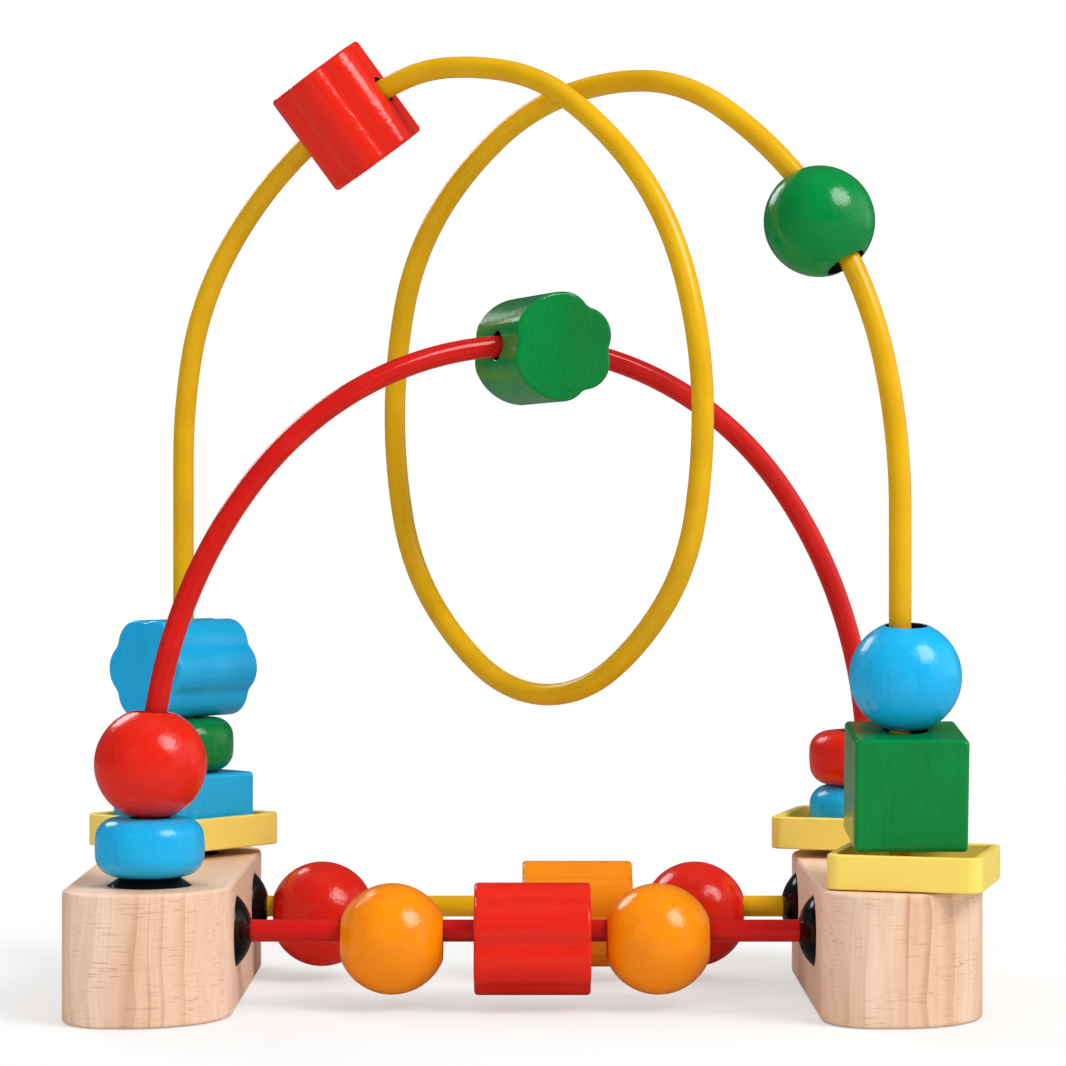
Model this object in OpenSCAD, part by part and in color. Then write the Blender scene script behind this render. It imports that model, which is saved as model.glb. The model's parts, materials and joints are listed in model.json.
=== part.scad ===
// Bead maze: two beech end blocks, four sleeved steel wires and the beads and trays that run on them.
// Millimetres, +Z up, origin on the ground half way between the blocks, front of the toy towards -Y.

/* [Blocks] */
// Width of each end block, left to right
block_w = 44; // [40:1:52]
// Length of each end block, front to back
block_d = 130; // [122:1:150]
// Height of each end block
block_h = 35; // [32:1:45]
// Distance between the middles of the two blocks
block_spacing = 200; // [190:1:220]
// Radius of the front right and rear left corners in plan
block_wide_r = 25; // [16:1:30]
// Radius of the front left and rear right corners in plan
block_tight_r = 14; // [8:1:20]
// Distance of the upright wires from the front and rear ends of a block
leg_inset = 23; // [20:1:26]

/* [Wires] */
// Outer diameter of the plastic sleeve on every wire
sleeve_d = 6; // [5:0.1:6.4]
// Diameter of the steel core
core_d = 4; // [3:0.1:4.4]
// Radial clearance between core and sleeve
core_clearance = 0.12; // [0.1:0.01:0.2]
// Depth of the sleeve's end below the face of the block
sleeve_depth = 12; // [9:0.5:16]
// Depth of the steel core's end below the face of the block
core_depth = 24; // [20:0.5:28]
// Distance of the straight bars from the middle line, front to back
bar_y = 28; // [26:0.5:30]
// Depth of the bars below the top of the blocks
bar_drop = 14; // [13:0.5:17]
// Straight upright length of the arch wire above the blocks
arch_leg = 25; // [18:1:32]
// Height of the arch wire's middle line above the blocks
arch_rise = 146; // [136:1:156]
// Angle turned by each side bend of the arch wire
arch_side_sweep = 38; // [32:1:44]
// Straight upright length of the loop wire above the left block
loop_left_leg = 115; // [108:1:122]
// Straight upright length of the loop wire above the right block
loop_right_leg = 100; // [96:1:110]

/* [Grommets] */
// Diameter of a wire grommet's flange
grommet_d = 22.4; // [20:0.1:24]
// Diameter of the flat top of a wire grommet
grommet_top_d = 16; // [13:0.5:18]
// Height of a wire grommet above the block
grommet_rise = 2.2; // [1.6:0.1:3]
// Thickness of a flange sunk into the block
flange_depth = 2; // [1.5:0.1:3]
// Diameter of the shank that plugs into the block
shank_d = 10; // [9:0.1:12]
// Diameter of a bar cap's flange and dome
cap_d = 19; // [17:0.5:21]
// Height of a bar cap's dome above the block
cap_rise = 4.2; // [3:0.1:5]
// Clearance round a sleeve, a shank or a flange in its hole
hole_clearance = 0.15; // [0.1:0.05:0.3]
// Width of the dark ring left open round a flange
flange_gap = 0.4; // [0.3:0.1:1]

/* [Beads] */
// Diameter of a ball bead
ball_d = 30; // [28:0.5:32]
// Diameter of the two flats of a ball bead
ball_flat_d = 12.6; // [11.5:0.1:16]
// Diameter of a disc bead
disc_d = 29.3; // [27:0.1:31]
// Height of a disc bead
disc_h = 15.5; // [14:0.1:16.5]
// Radius of the rounded edges of a disc bead
disc_edge_r = 5.5; // [3:0.1:6.5]
// Edge of the cube bead
cube_w = 30; // [28:0.5:32]
// Width of the square block bead
slab_w = 29.5; // [27:0.1:30]
// Height of the square block bead
slab_h = 19.5; // [17:0.5:23]
// Diameter of a flower bead across its lobes
flower_d = 30.4; // [29:0.1:32]
// Length of a flower bead along its flutes
flower_len = 31.5; // [29:0.5:33]
// Radius of one lobe of a flower bead
lobe_r = 7.7; // [7.2:0.1:8.2]
// Radius of the groove between two lobes
groove_r = 4; // [3:0.1:5]
// Radial play of a bead on its wire
bead_play = 2.5; // [2.4:0.1:2.8]
// Radial play of a flower bead that is drilled across its flutes
flower_play = 1; // [0.9:0.05:1.5]

/* [Trays] */
// Width of a tray
tray_w = 41; // [39:0.5:44]
// Height of a tray
tray_h = 9.2; // [7:0.1:11]
// Thickness of a tray's floor
tray_floor = 1.5; // [1:0.1:2.5]
// Thickness of a tray's rim
tray_wall = 2.5; // [2:0.1:2.9]
// Outer corner radius of a tray
tray_corner_r = 4; // [3:0.5:6]
// Diameter of the hole in a tray's floor
tray_hole_d = 15; // [14.8:0.1:15.8]

/* [Resting places] */
// Gap between a piece and what it rests on
seat_gap = 0.3; // [0.2:0.05:0.4]
// Forward lean of the front right cube and ball on their wire, in degrees
stack_lean = 6.5; // [0:0.5:6.5]
// Shift to the right of the front right cube and ball on their wire
stack_shift = 1.4; // [0:0.1:1.4]
// Depth by which the front right grommet is pressed below the others
grommet_sink = 2.2; // [2.2:0.1:3]
// Shift to the right of the front right tray on its wire
front_right_tray_shift = 3.9; // [0:0.1:4]
// Shift to the left of the rear right tray on its wire
rear_right_tray_shift = 4; // [0:0.1:4]
// Shift to the left of the rear right discs on their wire
rear_right_disc_shift = 2.1; // [0:0.1:2.2]
// Turn of the front right tray
front_right_tray_turn = -16; // [-45:1:45]
// Turn of the rear right tray
rear_right_tray_turn = -17; // [-45:1:45]
// Turn of the rear left tray
rear_left_tray_turn = 50; // [42:1:56]
// Turn of the square block in the rear left tray
slab_turn = 46; // [44:1:54]
// Turn of the rear left flower's face from the front
rear_flower_turn = -40; // [-60:1:60]
// Angle of the arch's flower past the top of the arch
arch_flower_angle = 3; // [-15:0.5:15]
// Turn of the left hump's flower about its wire
left_hump_flower_turn = 31; // [-45:1:45]
// Places of the left ball, the roller and the right ball on the front bar
front_bar_x = [-36, 2, 36]; // [-60:0.5:60]
// Room between the left ball of the rear bar and the cap beside it
rear_ball_room = 1.7; // [1.5:0.1:6]
// Places of the roller and the right ball on the rear bar
rear_bar_x = [15, 49]; // [0:0.5:60]

/* [Hidden] */
$fn = 64;
// Collar where two bends of a wire meet: its proud height, its length and the slit it bridges
weld = 0.03;
weld_len = 0.6;
weld_slit = 0.1;
// Length by which a cutter passes the face that it cuts
past = 1;
// Least inner corner radius of a tray
tray_corner_min = 0.8;

leg_x = block_spacing / 2;
inner_x = leg_x - block_w / 2;
bar_z = block_h - bar_drop;
sleeve_r = sleeve_d / 2;
core_r = core_d / 2;
bore_r = sleeve_r + bead_play;
flower_bore_r = sleeve_r + flower_play;
hang = bead_play - seat_gap;
flower_hang = flower_play - seat_gap;

UP = [0, 0, 1];
leg_y = block_d / 2 - leg_inset;
ROUTE_LEFT = [-leg_x, leg_y];
ROUTE_RIGHT = [leg_x, -leg_y];

// Loop wire: points that its middle line passes, with heights above the blocks.
// It rises at the rear left, crosses to the front right, loops down under the arch
// to the rear left and crosses back to the front right hole.
LOOP_POINTS = [
    [-88, 38, 173], [-51.5, 24.5, 214], [-35.5, 17, 222.5],
    [-7, 2, 223.5], [26, -23, 198.5], [47.5, -40, 125], [38, -31, 75],
    [5, 0, 48.5],
    [-27, 30, 74], [-38, 40, 125], [-22, 26, 190], [10, 8, 216.5],
    [54, -20, 210], [81, -33, 179], [96, -40, 140]
];
// Points of the list above where a bead sits on one true arc
LEFT_BEAD = 1;
RIGHT_BEAD = 13;

BEECH = "#e3bb98";
STEEL = "#b8bcc0";
BLACK = "#1c1c1e";
RED = "#d9241c";
GREEN = "#00853f";
BLUE = "#3cb0e2";
ORANGE = "#f28c10";
YELLOW = "#e8b818";
PALE_YELLOW = "#f2da66";

// Vectors and arcs

function unit(v) = v / norm(v);

// Direction at the far end of the arc that leaves p along t and ends at q
function arc_end(p, t, q) = let (u = unit(q - p)) 2 * (u * t) * u - t;

// Direction at b of the circle through a, b and c
function circle_tangent(a, b, c) =
    unit((b - a) / ((b - a) * (b - a)) + (c - b) / ((c - b) * (c - b)));

// Two arcs from p along t to q along s, each a list of start, direction and end
function biarc(p, t, q, s) =
    let (
        v = q - p,
        w = t + s,
        k = 2 * (1 - t * s),
        d = k < 1e-9 ? v * v / (2 * v * w) : (sqrt((v * w) ^ 2 + k * (v * v)) - v * w) / k,
        m = (p + q + d * (t - s)) / 2
    )
    [[p, t, m], [m, arc_end(p, t, m), q]];

// One arc where it already ends along s, and otherwise two
function span(p, t, q, s) = norm(arc_end(p, t, q) - s) < 1e-6 ? [[p, t, q]] : biarc(p, t, q, s);

// Loop wire route

loop_start = [ROUTE_LEFT.x, ROUTE_LEFT.y, loop_left_leg];
loop_finish = [ROUTE_RIGHT.x, ROUTE_RIGHT.y, loop_right_leg];
loop_knots = concat([loop_start], LOOP_POINTS, [loop_finish]);
loop_last = len(loop_knots) - 1;

function on_bead(i) = i == LEFT_BEAD + 1 || i == RIGHT_BEAD + 1;

function free_tangent(i) = circle_tangent(loop_knots[i - 1], loop_knots[i], loop_knots[i + 1]);

function loop_tangent(i) =
    i == 0 ? UP :
    i == loop_last ? -UP :
    on_bead(i + 1) ? arc_end(loop_knots[i + 1], free_tangent(i + 1), loop_knots[i]) :
    on_bead(i - 1) ? arc_end(loop_knots[i - 1], free_tangent(i - 1), loop_knots[i]) :
    free_tangent(i);

function loop_route(depth) = concat(
    [[loop_start - [0, 0, loop_left_leg + depth], UP, loop_start]],
    [for (i = [0:loop_last - 1])
        each span(loop_knots[i], loop_tangent(i), loop_knots[i + 1], loop_tangent(i + 1))],
    [[loop_finish, -UP, loop_finish - [0, 0, loop_right_leg + depth]]]
);

// Arch wire route: upright legs, two side bends and one top bend in a slanting upright plane

arch_half = norm([leg_x, leg_y]);
arch_along = unit([leg_x, leg_y, 0]);
arch_normal = cross(arch_along, UP);
arch_height = arch_rise - arch_leg;
arch_det = (1 - cos(arch_side_sweep)) * (1 - sin(arch_side_sweep))
    - cos(arch_side_sweep) * sin(arch_side_sweep);
arch_side_r = (arch_half * (1 - sin(arch_side_sweep)) - arch_height * cos(arch_side_sweep)) / arch_det;
arch_top_r = ((1 - cos(arch_side_sweep)) * arch_height - sin(arch_side_sweep) * arch_half) / arch_det;

// Point of the arch's plane at a distance along it and a height above the blocks
function arch_point(along, z) = along * arch_along + [0, 0, z];

// Point of a side bend, at an angle from its foot; side is -1 on the left and 1 on the right
function arch_side_point(side, angle) = arch_point(
    side * (arch_half - arch_side_r * (1 - cos(angle))), arch_leg + arch_side_r * sin(angle));

function arch_route(depth) =
    let (
        foot = arch_point(-arch_half, arch_leg),
        bend = arch_side_point(-1, arch_side_sweep),
        far_bend = arch_side_point(1, arch_side_sweep),
        far_foot = arch_point(arch_half, arch_leg),
        bend_way = sin(arch_side_sweep) * arch_along + cos(arch_side_sweep) * UP,
        far_way = sin(arch_side_sweep) * arch_along - cos(arch_side_sweep) * UP
    )
    [
        [foot - [0, 0, arch_leg + depth], UP, foot],
        [foot, UP, bend],
        [bend, bend_way, far_bend],
        [far_bend, far_way, far_foot],
        [far_foot, -UP, far_foot - [0, 0, arch_leg + depth]]
    ];

function bar_route(depth) = let (x = inner_x + depth) [[[-x, 0, 0], [1, 0, 0], [x, 0, 0]]];

// Placing

// Puts its children in a frame given by an origin and three axes
module in_frame(o, x, y, z) {
    multmatrix([
        [x.x, y.x, z.x, o.x],
        [x.y, y.y, z.y, o.y],
        [x.z, y.z, z.z, o.z],
        [0, 0, 0, 1]
    ]) children();
}

module on_blocks() { translate([0, 0, block_h]) children(); }

module on_front_bar() { translate([0, -bar_y, bar_z]) children(); }

module on_rear_bar() { translate([0, bar_y, bar_z]) children(); }

// Turns a bead's bore from upright to along the bars and hangs it on its wire
module hung_on_bar(x) { translate([x, 0, -hang]) rotate([0, 90, 0]) children(); }

// Wires

// Round section of a rod, or of a tube where it has a bore
module section(r, bore) {
    difference() {
        circle(r = r);
        if (bore > 0) circle(r = bore);
    }
}

// Carries a section from a point along a direction
module along(p, t) {
    side = unit(cross(abs(t.z) < 0.9 ? UP : [1, 0, 0], t));
    in_frame(p, side, cross(t, side), t) children();
}

// One bend or straight length of a wire
module wire_piece(p, t, q, r, bore) {
    u = unit(q - p);
    half = acos(min(1, u * t));
    if (half < 0.01) {
        along(p, t) linear_extrude(norm(q - p)) section(r, bore);
    } else {
        bend_r = norm(q - p) / (2 * sin(half));
        inward = unit((q - p) - ((q - p) * t) * t);
        trim = weld_slit / bend_r * 180 / PI;
        in_frame(p + bend_r * inward, -inward, t, cross(t, inward))
            rotate([0, 0, trim])
            rotate_extrude(angle = 2 * half - 2 * trim)
            translate([bend_r, 0])
            section(r, bore);
    }
}

// Wire along a route of bends and straight lengths, with a collar where two of them meet
module bent_wire(route, r, bore = 0) {
    for (piece = route) wire_piece(piece[0], piece[1], piece[2], r, bore);
    if (len(route) > 1) for (i = [1:len(route) - 1])
        along(route[i][0], route[i][1])
            linear_extrude(weld_len, center = true)
            section(r + weld, bore - weld);
}

module wire_core(route) { color(STEEL) bent_wire(route, core_r); }

module wire_sleeve(route, colour) { color(colour) bent_wire(route, sleeve_r, core_r + core_clearance); }

module loop_wire_core() { on_blocks() wire_core(loop_route(core_depth)); }

module loop_wire_sleeve() { on_blocks() wire_sleeve(loop_route(sleeve_depth), YELLOW); }

module arch_wire_core() { on_blocks() wire_core(arch_route(core_depth)); }

module arch_wire_sleeve() { on_blocks() wire_sleeve(arch_route(sleeve_depth), RED); }

module bar_core() { wire_core(bar_route(core_depth)); }

module bar_sleeve(colour) { wire_sleeve(bar_route(sleeve_depth), colour); }

module front_bar_core() { on_front_bar() bar_core(); }

module front_bar_sleeve() { on_front_bar() bar_sleeve(RED); }

module rear_bar_core() { on_rear_bar() bar_core(); }

module rear_bar_sleeve() { on_rear_bar() bar_sleeve(YELLOW); }

// Blocks and grommets

// Upright round corner of a block, whose middle is at x, y and whose quarter starts at an angle
module block_corner(x, y, r, start) {
    translate([x, y, 0]) rotate(start) rotate_extrude(angle = 90) square([r, block_h]);
}

// Block without its holes: two wide and two tight round corners
module block_body() {
    x = block_w / 2;
    y = block_d / 2;
    wide = block_wide_r;
    tight = block_tight_r;
    linear_extrude(block_h) polygon([
        [-x + tight, -y], [x - wide, -y], [x, -y + wide], [x, y - tight],
        [x - tight, y], [-x + wide, y], [-x, y - wide], [-x, -y + tight]
    ]);
    block_corner(x - wide, wide - y, wide, -90);
    block_corner(x - tight, y - tight, tight, 0);
    block_corner(wide - x, y - wide, wide, 90);
    block_corner(tight - x, tight - y, tight, 180);
}

// Round hole going down from the face at z = 0
module drilled(d, depth) { translate([0, 0, -depth]) cylinder(d = d, h = depth + past); }

// Stepped hole for one wire end, going down from the face at z = 0; sink lowers the plug in it
module wire_hole(flange_d, sink = 0) {
    drilled(flange_d + 2 * flange_gap, flange_depth + sink);
    drilled(shank_d + 2 * hole_clearance, sleeve_depth + sink);
    drilled(core_d + 2 * hole_clearance, core_depth);
}

// A block at the middle, with its inner face on the side given by inward: 1 is right, -1 is left.
// front_sink lowers the plug in its front wire hole.
module block(inward, front_sink = 0) {
    color(BEECH) difference() {
        block_body();
        translate([0, -leg_y, block_h]) wire_hole(grommet_d, front_sink);
        translate([0, leg_y, block_h]) wire_hole(grommet_d);
        for (y = [-bar_y, bar_y])
            translate([inward * block_w / 2, y, bar_z]) rotate([0, inward * 90, 0]) wire_hole(cap_d);
    }
}

module left_block() { translate([-leg_x, 0, 0]) block(1); }

module right_block() { translate([leg_x, 0, 0]) block(-1, grommet_sink); }

module grommet_shank() {
    translate([0, 0, -sleeve_depth]) cylinder(d = shank_d, h = sleeve_depth);
}

module wire_way(top) {
    translate([0, 0, -sleeve_depth - past])
        cylinder(r = sleeve_r + hole_clearance, h = sleeve_depth + top + 2 * past);
}

// Black plug with a low cone, at the top of a block
module grommet() {
    color(BLACK) difference() {
        union() {
            grommet_shank();
            translate([0, 0, -flange_depth]) cylinder(d = grommet_d, h = flange_depth);
            cylinder(d1 = grommet_d, d2 = grommet_top_d, h = grommet_rise);
        }
        wire_way(grommet_rise);
    }
}

// Black plug with a dome, at the inner face of a block
module bar_cap() {
    dome_r = ((cap_d / 2) ^ 2 + cap_rise ^ 2) / (2 * cap_rise);
    color(BLACK) difference() {
        union() {
            grommet_shank();
            translate([0, 0, -flange_depth]) cylinder(d = cap_d, h = flange_depth);
            intersection() {
                translate([0, 0, cap_rise - dome_r]) sphere(r = dome_r);
                cylinder(d = cap_d, h = cap_rise + past);
            }
        }
        wire_way(cap_rise);
    }
}

module grommet_at(x, y, sink = 0) { translate([x, y, block_h - sink]) grommet(); }

module bar_cap_at(side, y) { translate([side * inner_x, y, bar_z]) rotate([0, -side * 90, 0]) bar_cap(); }

module grommet_front_left() { grommet_at(-leg_x, -leg_y); }

module grommet_rear_left() { grommet_at(-leg_x, leg_y); }

module grommet_front_right() { grommet_at(leg_x, -leg_y, grommet_sink); }

module grommet_rear_right() { grommet_at(leg_x, leg_y); }

module bar_cap_front_left() { bar_cap_at(-1, -bar_y); }

module bar_cap_rear_left() { bar_cap_at(-1, bar_y); }

module bar_cap_front_right() { bar_cap_at(1, -bar_y); }

module bar_cap_rear_right() { bar_cap_at(1, bar_y); }

// Beads and trays, each round its own middle with an upright bore

module bead_bore(r, length) { cylinder(r = r, h = length + 2 * past, center = true); }

// Ring turned from a section on the axis, bored and cut flat at both ends
module bored_ring(length) {
    rotate_extrude() intersection() {
        children();
        translate([bore_r, -length / 2]) square([ball_d, length]);
    }
}

ball_flat_r = ball_flat_d / 2;
ball_len = 2 * sqrt((ball_d / 2) ^ 2 - ball_flat_r ^ 2);

module ball(colour) { color(colour) bored_ring(ball_len) circle(d = ball_d); }

disc_flat_r = disc_d / 2 - disc_edge_r;

module disc(colour) { color(colour) bored_ring(disc_h) round_oblong(disc_d, disc_h, disc_edge_r); }

module square_bead(width, height, colour) {
    color(colour) difference() {
        cube([width, width, height], center = true);
        bead_bore(bore_r, height);
    }
}

lobe_count = 6;
lobe_step = 360 / lobe_count;
lobe_centre_r = flower_d / 2 - lobe_r;
groove_centre_r = lobe_centre_r * cos(lobe_step / 2)
    + sqrt((lobe_r + groove_r) ^ 2 - (lobe_centre_r * sin(lobe_step / 2)) ^ 2);
// Half the height of a flower that lies on two of its lobes
flower_rest = lobe_centre_r * cos(lobe_step / 2) + lobe_r;

// Circles spaced as the lobes are, the first one turned by a share of a step
module round_the_flower(first, centre_r, r) {
    for (i = [0:lobe_count - 1]) rotate((i + first) * lobe_step) translate([centre_r, 0]) circle(r = r);
}

// Outline of a flower with a lobe along +X; grooves whose number is in smooth are filled round
module flower_outline(smooth = []) {
    difference() {
        union() {
            polygon([for (i = [0:lobe_count - 1]) each [
                lobe_centre_r * [cos(i * lobe_step), sin(i * lobe_step)],
                groove_centre_r * [cos((i + 0.5) * lobe_step), sin((i + 0.5) * lobe_step)]
            ]]);
            round_the_flower(0, lobe_centre_r, lobe_r);
        }
        round_the_flower(0.5, groove_centre_r, groove_r);
    }
    for (i = smooth) intersection() {
        circle(d = flower_d);
        polygon([
            [0, 0],
            for (k = [0, 0.5, 1]) flower_d * [cos((i + k) * lobe_step), sin((i + k) * lobe_step)]
        ]);
    }
}

module flower_prism(smooth = []) { linear_extrude(flower_len, center = true) flower_outline(smooth); }

// Flower drilled across its flutes, which lie along X; turn rolls the flower about its flutes
module crosswise_flower(colour, turn, smooth = []) {
    color(colour) difference() {
        rotate([0, 90, 0]) rotate([0, 0, turn]) flower_prism(smooth);
        bead_bore(flower_bore_r, flower_d);
    }
}

// Flower drilled along its flutes
module roller(colour) {
    color(colour) difference() {
        flower_prism();
        bead_bore(bore_r, flower_len);
    }
}

module round_oblong(width, height, corner) {
    x_reach = width / 2 - corner;
    y_reach = height / 2 - corner;
    square([width, 2 * y_reach], center = true);
    square([2 * x_reach, height], center = true);
    for (x = [-x_reach, x_reach], y = [-y_reach, y_reach]) translate([x, y]) circle(r = corner);
}

module round_square(width, corner) { round_oblong(width, width, corner); }

// Shallow square dish with its underside at z = 0
module tray() {
    color(PALE_YELLOW) difference() {
        linear_extrude(tray_h) round_square(tray_w, tray_corner_r);
        translate([0, 0, tray_floor])
            linear_extrude(tray_h)
            round_square(tray_w - 2 * tray_wall, max(tray_corner_min, tray_corner_r - tray_wall));
        translate([0, 0, -past]) cylinder(d = tray_hole_d, h = tray_floor + 2 * past);
    }
}

// Front left: a disc and a ball on the arch wire

first_seat = grommet_rise + seat_gap;

// Angle on a side bend at a height above the blocks
function arch_angle(z) = asin(max(0, z - arch_leg) / arch_side_r);

// Rise of a flat's centre that lets the flat tip by an angle over its seat
function tip_room(flat_r, angle) = flat_r * sin(angle);

// Carries a bead along the arch wire, upright at the foot; side is -1 on the left and 1 on the right
module on_arch_side(side, z) {
    angle = arch_angle(z);
    way = cos(angle) * UP - side * sin(angle) * arch_along;
    place = z > arch_leg ? arch_side_point(side, angle) : arch_point(side * arch_half, z);
    on_blocks() in_frame(place, cross(arch_normal, way), arch_normal, way) children();
}

front_left_disc_z = first_seat + disc_h / 2;
front_left_ball_seat = front_left_disc_z + disc_h / 2 + seat_gap;
front_left_ball_z = front_left_ball_seat + ball_len / 2
    + tip_room(ball_flat_r, arch_angle(front_left_ball_seat + ball_len / 2));

module front_left_blue_disc() { translate([-leg_x, -leg_y, block_h + front_left_disc_z]) disc(BLUE); }

module front_left_red_ball() { on_arch_side(-1, front_left_ball_z) ball(RED); }

// Rear left: tray, square block, disc and crosswise flower on the loop wire

rear_left_slab_z = first_seat + tray_floor + seat_gap + slab_h / 2;
rear_left_disc_z = rear_left_slab_z + slab_h / 2 + seat_gap + disc_h / 2;
rear_left_flower_z = rear_left_disc_z + disc_h / 2 + seat_gap + flower_rest;

module at_rear_left(z) { translate([-leg_x, leg_y, block_h + z]) children(); }

module rear_left_tray() { at_rear_left(first_seat) rotate(rear_left_tray_turn) tray(); }

module rear_left_blue_slab() {
    at_rear_left(rear_left_slab_z) rotate(slab_turn) square_bead(slab_w, slab_h, BLUE);
}

module rear_left_green_disc() { at_rear_left(rear_left_disc_z) disc(GREEN); }

module rear_left_blue_flower() {
    at_rear_left(rear_left_flower_z) rotate(rear_flower_turn - 90) crosswise_flower(BLUE, lobe_step / 2);
}

// Front right: tray flat on the block, and a cube and a ball on the loop wire, tipped forward over its rim

front_right_rim_z = seat_gap + tray_h;
front_right_cube_z = front_right_rim_z + seat_gap + cube_w / 2 * (sin(stack_lean) + cos(stack_lean));
front_right_ball_z = front_right_cube_z + (cube_w / 2 + seat_gap + ball_len / 2) / cos(stack_lean);

module at_front_right(shift, z) { translate([leg_x + shift, -leg_y, block_h + z]) children(); }

module leaning(z) { at_front_right(stack_shift, z) rotate([stack_lean, 0, 0]) children(); }

module front_right_tray() {
    at_front_right(front_right_tray_shift, seat_gap) rotate(front_right_tray_turn) tray();
}

module front_right_green_cube() { leaning(front_right_cube_z) square_bead(cube_w, cube_w, GREEN); }

module front_right_blue_ball() { leaning(front_right_ball_z) ball(BLUE); }

// Rear right: tray and two discs on the arch wire

rear_right_blue_z = first_seat + tray_floor + seat_gap + disc_h / 2;
rear_right_red_seat = rear_right_blue_z + disc_h / 2 + seat_gap;
rear_right_red_z = rear_right_red_seat + disc_h / 2
    + tip_room(disc_flat_r, arch_angle(rear_right_red_seat + disc_h / 2));

module at_rear_right(shift, z) { translate([leg_x - shift, leg_y, block_h + z]) children(); }

module rear_right_tray() {
    at_rear_right(rear_right_tray_shift, first_seat) rotate(rear_right_tray_turn) tray();
}

module rear_right_blue_disc() { at_rear_right(rear_right_disc_shift, rear_right_blue_z) disc(BLUE); }

module rear_right_red_disc() {
    translate([-rear_right_disc_shift, 0, 0]) on_arch_side(1, rear_right_red_z) disc(RED);
}

// Beads hanging on the bends

module arch_green_flower() {
    outward = sin(arch_flower_angle) * arch_along + cos(arch_flower_angle) * UP;
    way = cos(arch_flower_angle) * arch_along - sin(arch_flower_angle) * UP;
    middle = [0, 0, arch_rise - arch_top_r] + (arch_top_r - flower_hang) * outward;
    on_blocks() in_frame(middle, arch_normal, cross(way, arch_normal), way)
        crosswise_flower(GREEN, lobe_step / 2, [0, 4]);
}

// Frame of a bead at a point of the loop wire: its middle, its bore and the way to the bend's centre
function loop_way(i) = free_tangent(i + 1);
function loop_inward(i) =
    let (
        t = loop_way(i),
        a = loop_knots[i] - loop_knots[i + 1]
    )
    unit(a - (a * t) * t);

module on_loop_bend(i, sag) {
    way = loop_way(i);
    inward = loop_inward(i);
    on_blocks() in_frame(loop_knots[i + 1] + sag * inward, inward, cross(way, inward), way) children();
}

module left_hump_red_flower() {
    on_loop_bend(LEFT_BEAD, flower_hang) rotate(left_hump_flower_turn) crosswise_flower(RED, lobe_step / 2);
}

module right_hump_green_ball() { on_loop_bend(RIGHT_BEAD, hang) ball(GREEN); }

// Beads hanging on the bars

module front_bar_left_orange_ball() { on_front_bar() hung_on_bar(front_bar_x[0]) ball(ORANGE); }

module front_bar_red_roller() { on_front_bar() hung_on_bar(front_bar_x[1]) roller(RED); }

module front_bar_right_orange_ball() { on_front_bar() hung_on_bar(front_bar_x[2]) ball(ORANGE); }

rear_ball_x = inner_x - cap_rise - rear_ball_room - ball_len / 2;

module rear_bar_left_red_ball() { on_rear_bar() hung_on_bar(-rear_ball_x) ball(RED); }

module rear_bar_orange_roller() { on_rear_bar() hung_on_bar(rear_bar_x[0]) roller(ORANGE); }

module rear_bar_right_red_ball() { on_rear_bar() hung_on_bar(rear_bar_x[1]) ball(RED); }

left_block();
right_block();
loop_wire_core();
loop_wire_sleeve();
arch_wire_core();
arch_wire_sleeve();
front_bar_core();
front_bar_sleeve();
rear_bar_core();
rear_bar_sleeve();
grommet_front_left();
grommet_rear_left();
grommet_front_right();
grommet_rear_right();
bar_cap_front_left();
bar_cap_rear_left();
bar_cap_front_right();
bar_cap_rear_right();
front_left_blue_disc();
front_left_red_ball();
rear_left_tray();
rear_left_blue_slab();
rear_left_green_disc();
rear_left_blue_flower();
front_right_tray();
front_right_green_cube();
front_right_blue_ball();
rear_right_tray();
rear_right_blue_disc();
rear_right_red_disc();
arch_green_flower();
left_hump_red_flower();
right_hump_green_ball();
front_bar_left_orange_ball();
front_bar_red_roller();
front_bar_right_orange_ball();
rear_bar_left_red_ball();
rear_bar_orange_roller();
rear_bar_right_red_ball();
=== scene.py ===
"""Looks of a bead maze: beech end blocks, sleeved wires, lacquered wooden beads and plastic trays.

Each piece is modelled at its own middle with its bore upright, dressed, and set where its CAD node
lies. Lengths are metres. Sizes that the frame gives are read from it, and the rest are fields below.
"""

import json
import logging
import math
from dataclasses import dataclass, field
from enum import Enum
from functools import partial
from itertools import pairwise

import bpy
from mathutils import Matrix, Vector

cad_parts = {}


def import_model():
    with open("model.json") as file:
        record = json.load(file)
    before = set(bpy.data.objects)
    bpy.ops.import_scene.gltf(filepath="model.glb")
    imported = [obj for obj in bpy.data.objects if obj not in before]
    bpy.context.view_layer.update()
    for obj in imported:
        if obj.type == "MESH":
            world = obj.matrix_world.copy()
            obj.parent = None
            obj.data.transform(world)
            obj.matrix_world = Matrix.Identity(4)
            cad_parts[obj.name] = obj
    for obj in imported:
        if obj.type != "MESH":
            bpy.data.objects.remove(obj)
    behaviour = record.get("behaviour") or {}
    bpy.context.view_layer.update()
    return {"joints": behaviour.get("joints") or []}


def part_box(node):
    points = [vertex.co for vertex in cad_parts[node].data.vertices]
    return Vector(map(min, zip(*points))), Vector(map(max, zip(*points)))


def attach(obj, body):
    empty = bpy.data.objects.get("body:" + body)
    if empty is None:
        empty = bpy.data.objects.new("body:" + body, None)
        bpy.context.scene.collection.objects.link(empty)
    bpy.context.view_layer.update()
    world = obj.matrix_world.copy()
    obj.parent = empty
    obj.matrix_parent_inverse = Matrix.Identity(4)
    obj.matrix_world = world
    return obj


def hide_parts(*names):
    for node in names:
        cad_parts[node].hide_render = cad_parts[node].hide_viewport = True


log = logging.getLogger("bead_maze")

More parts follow.
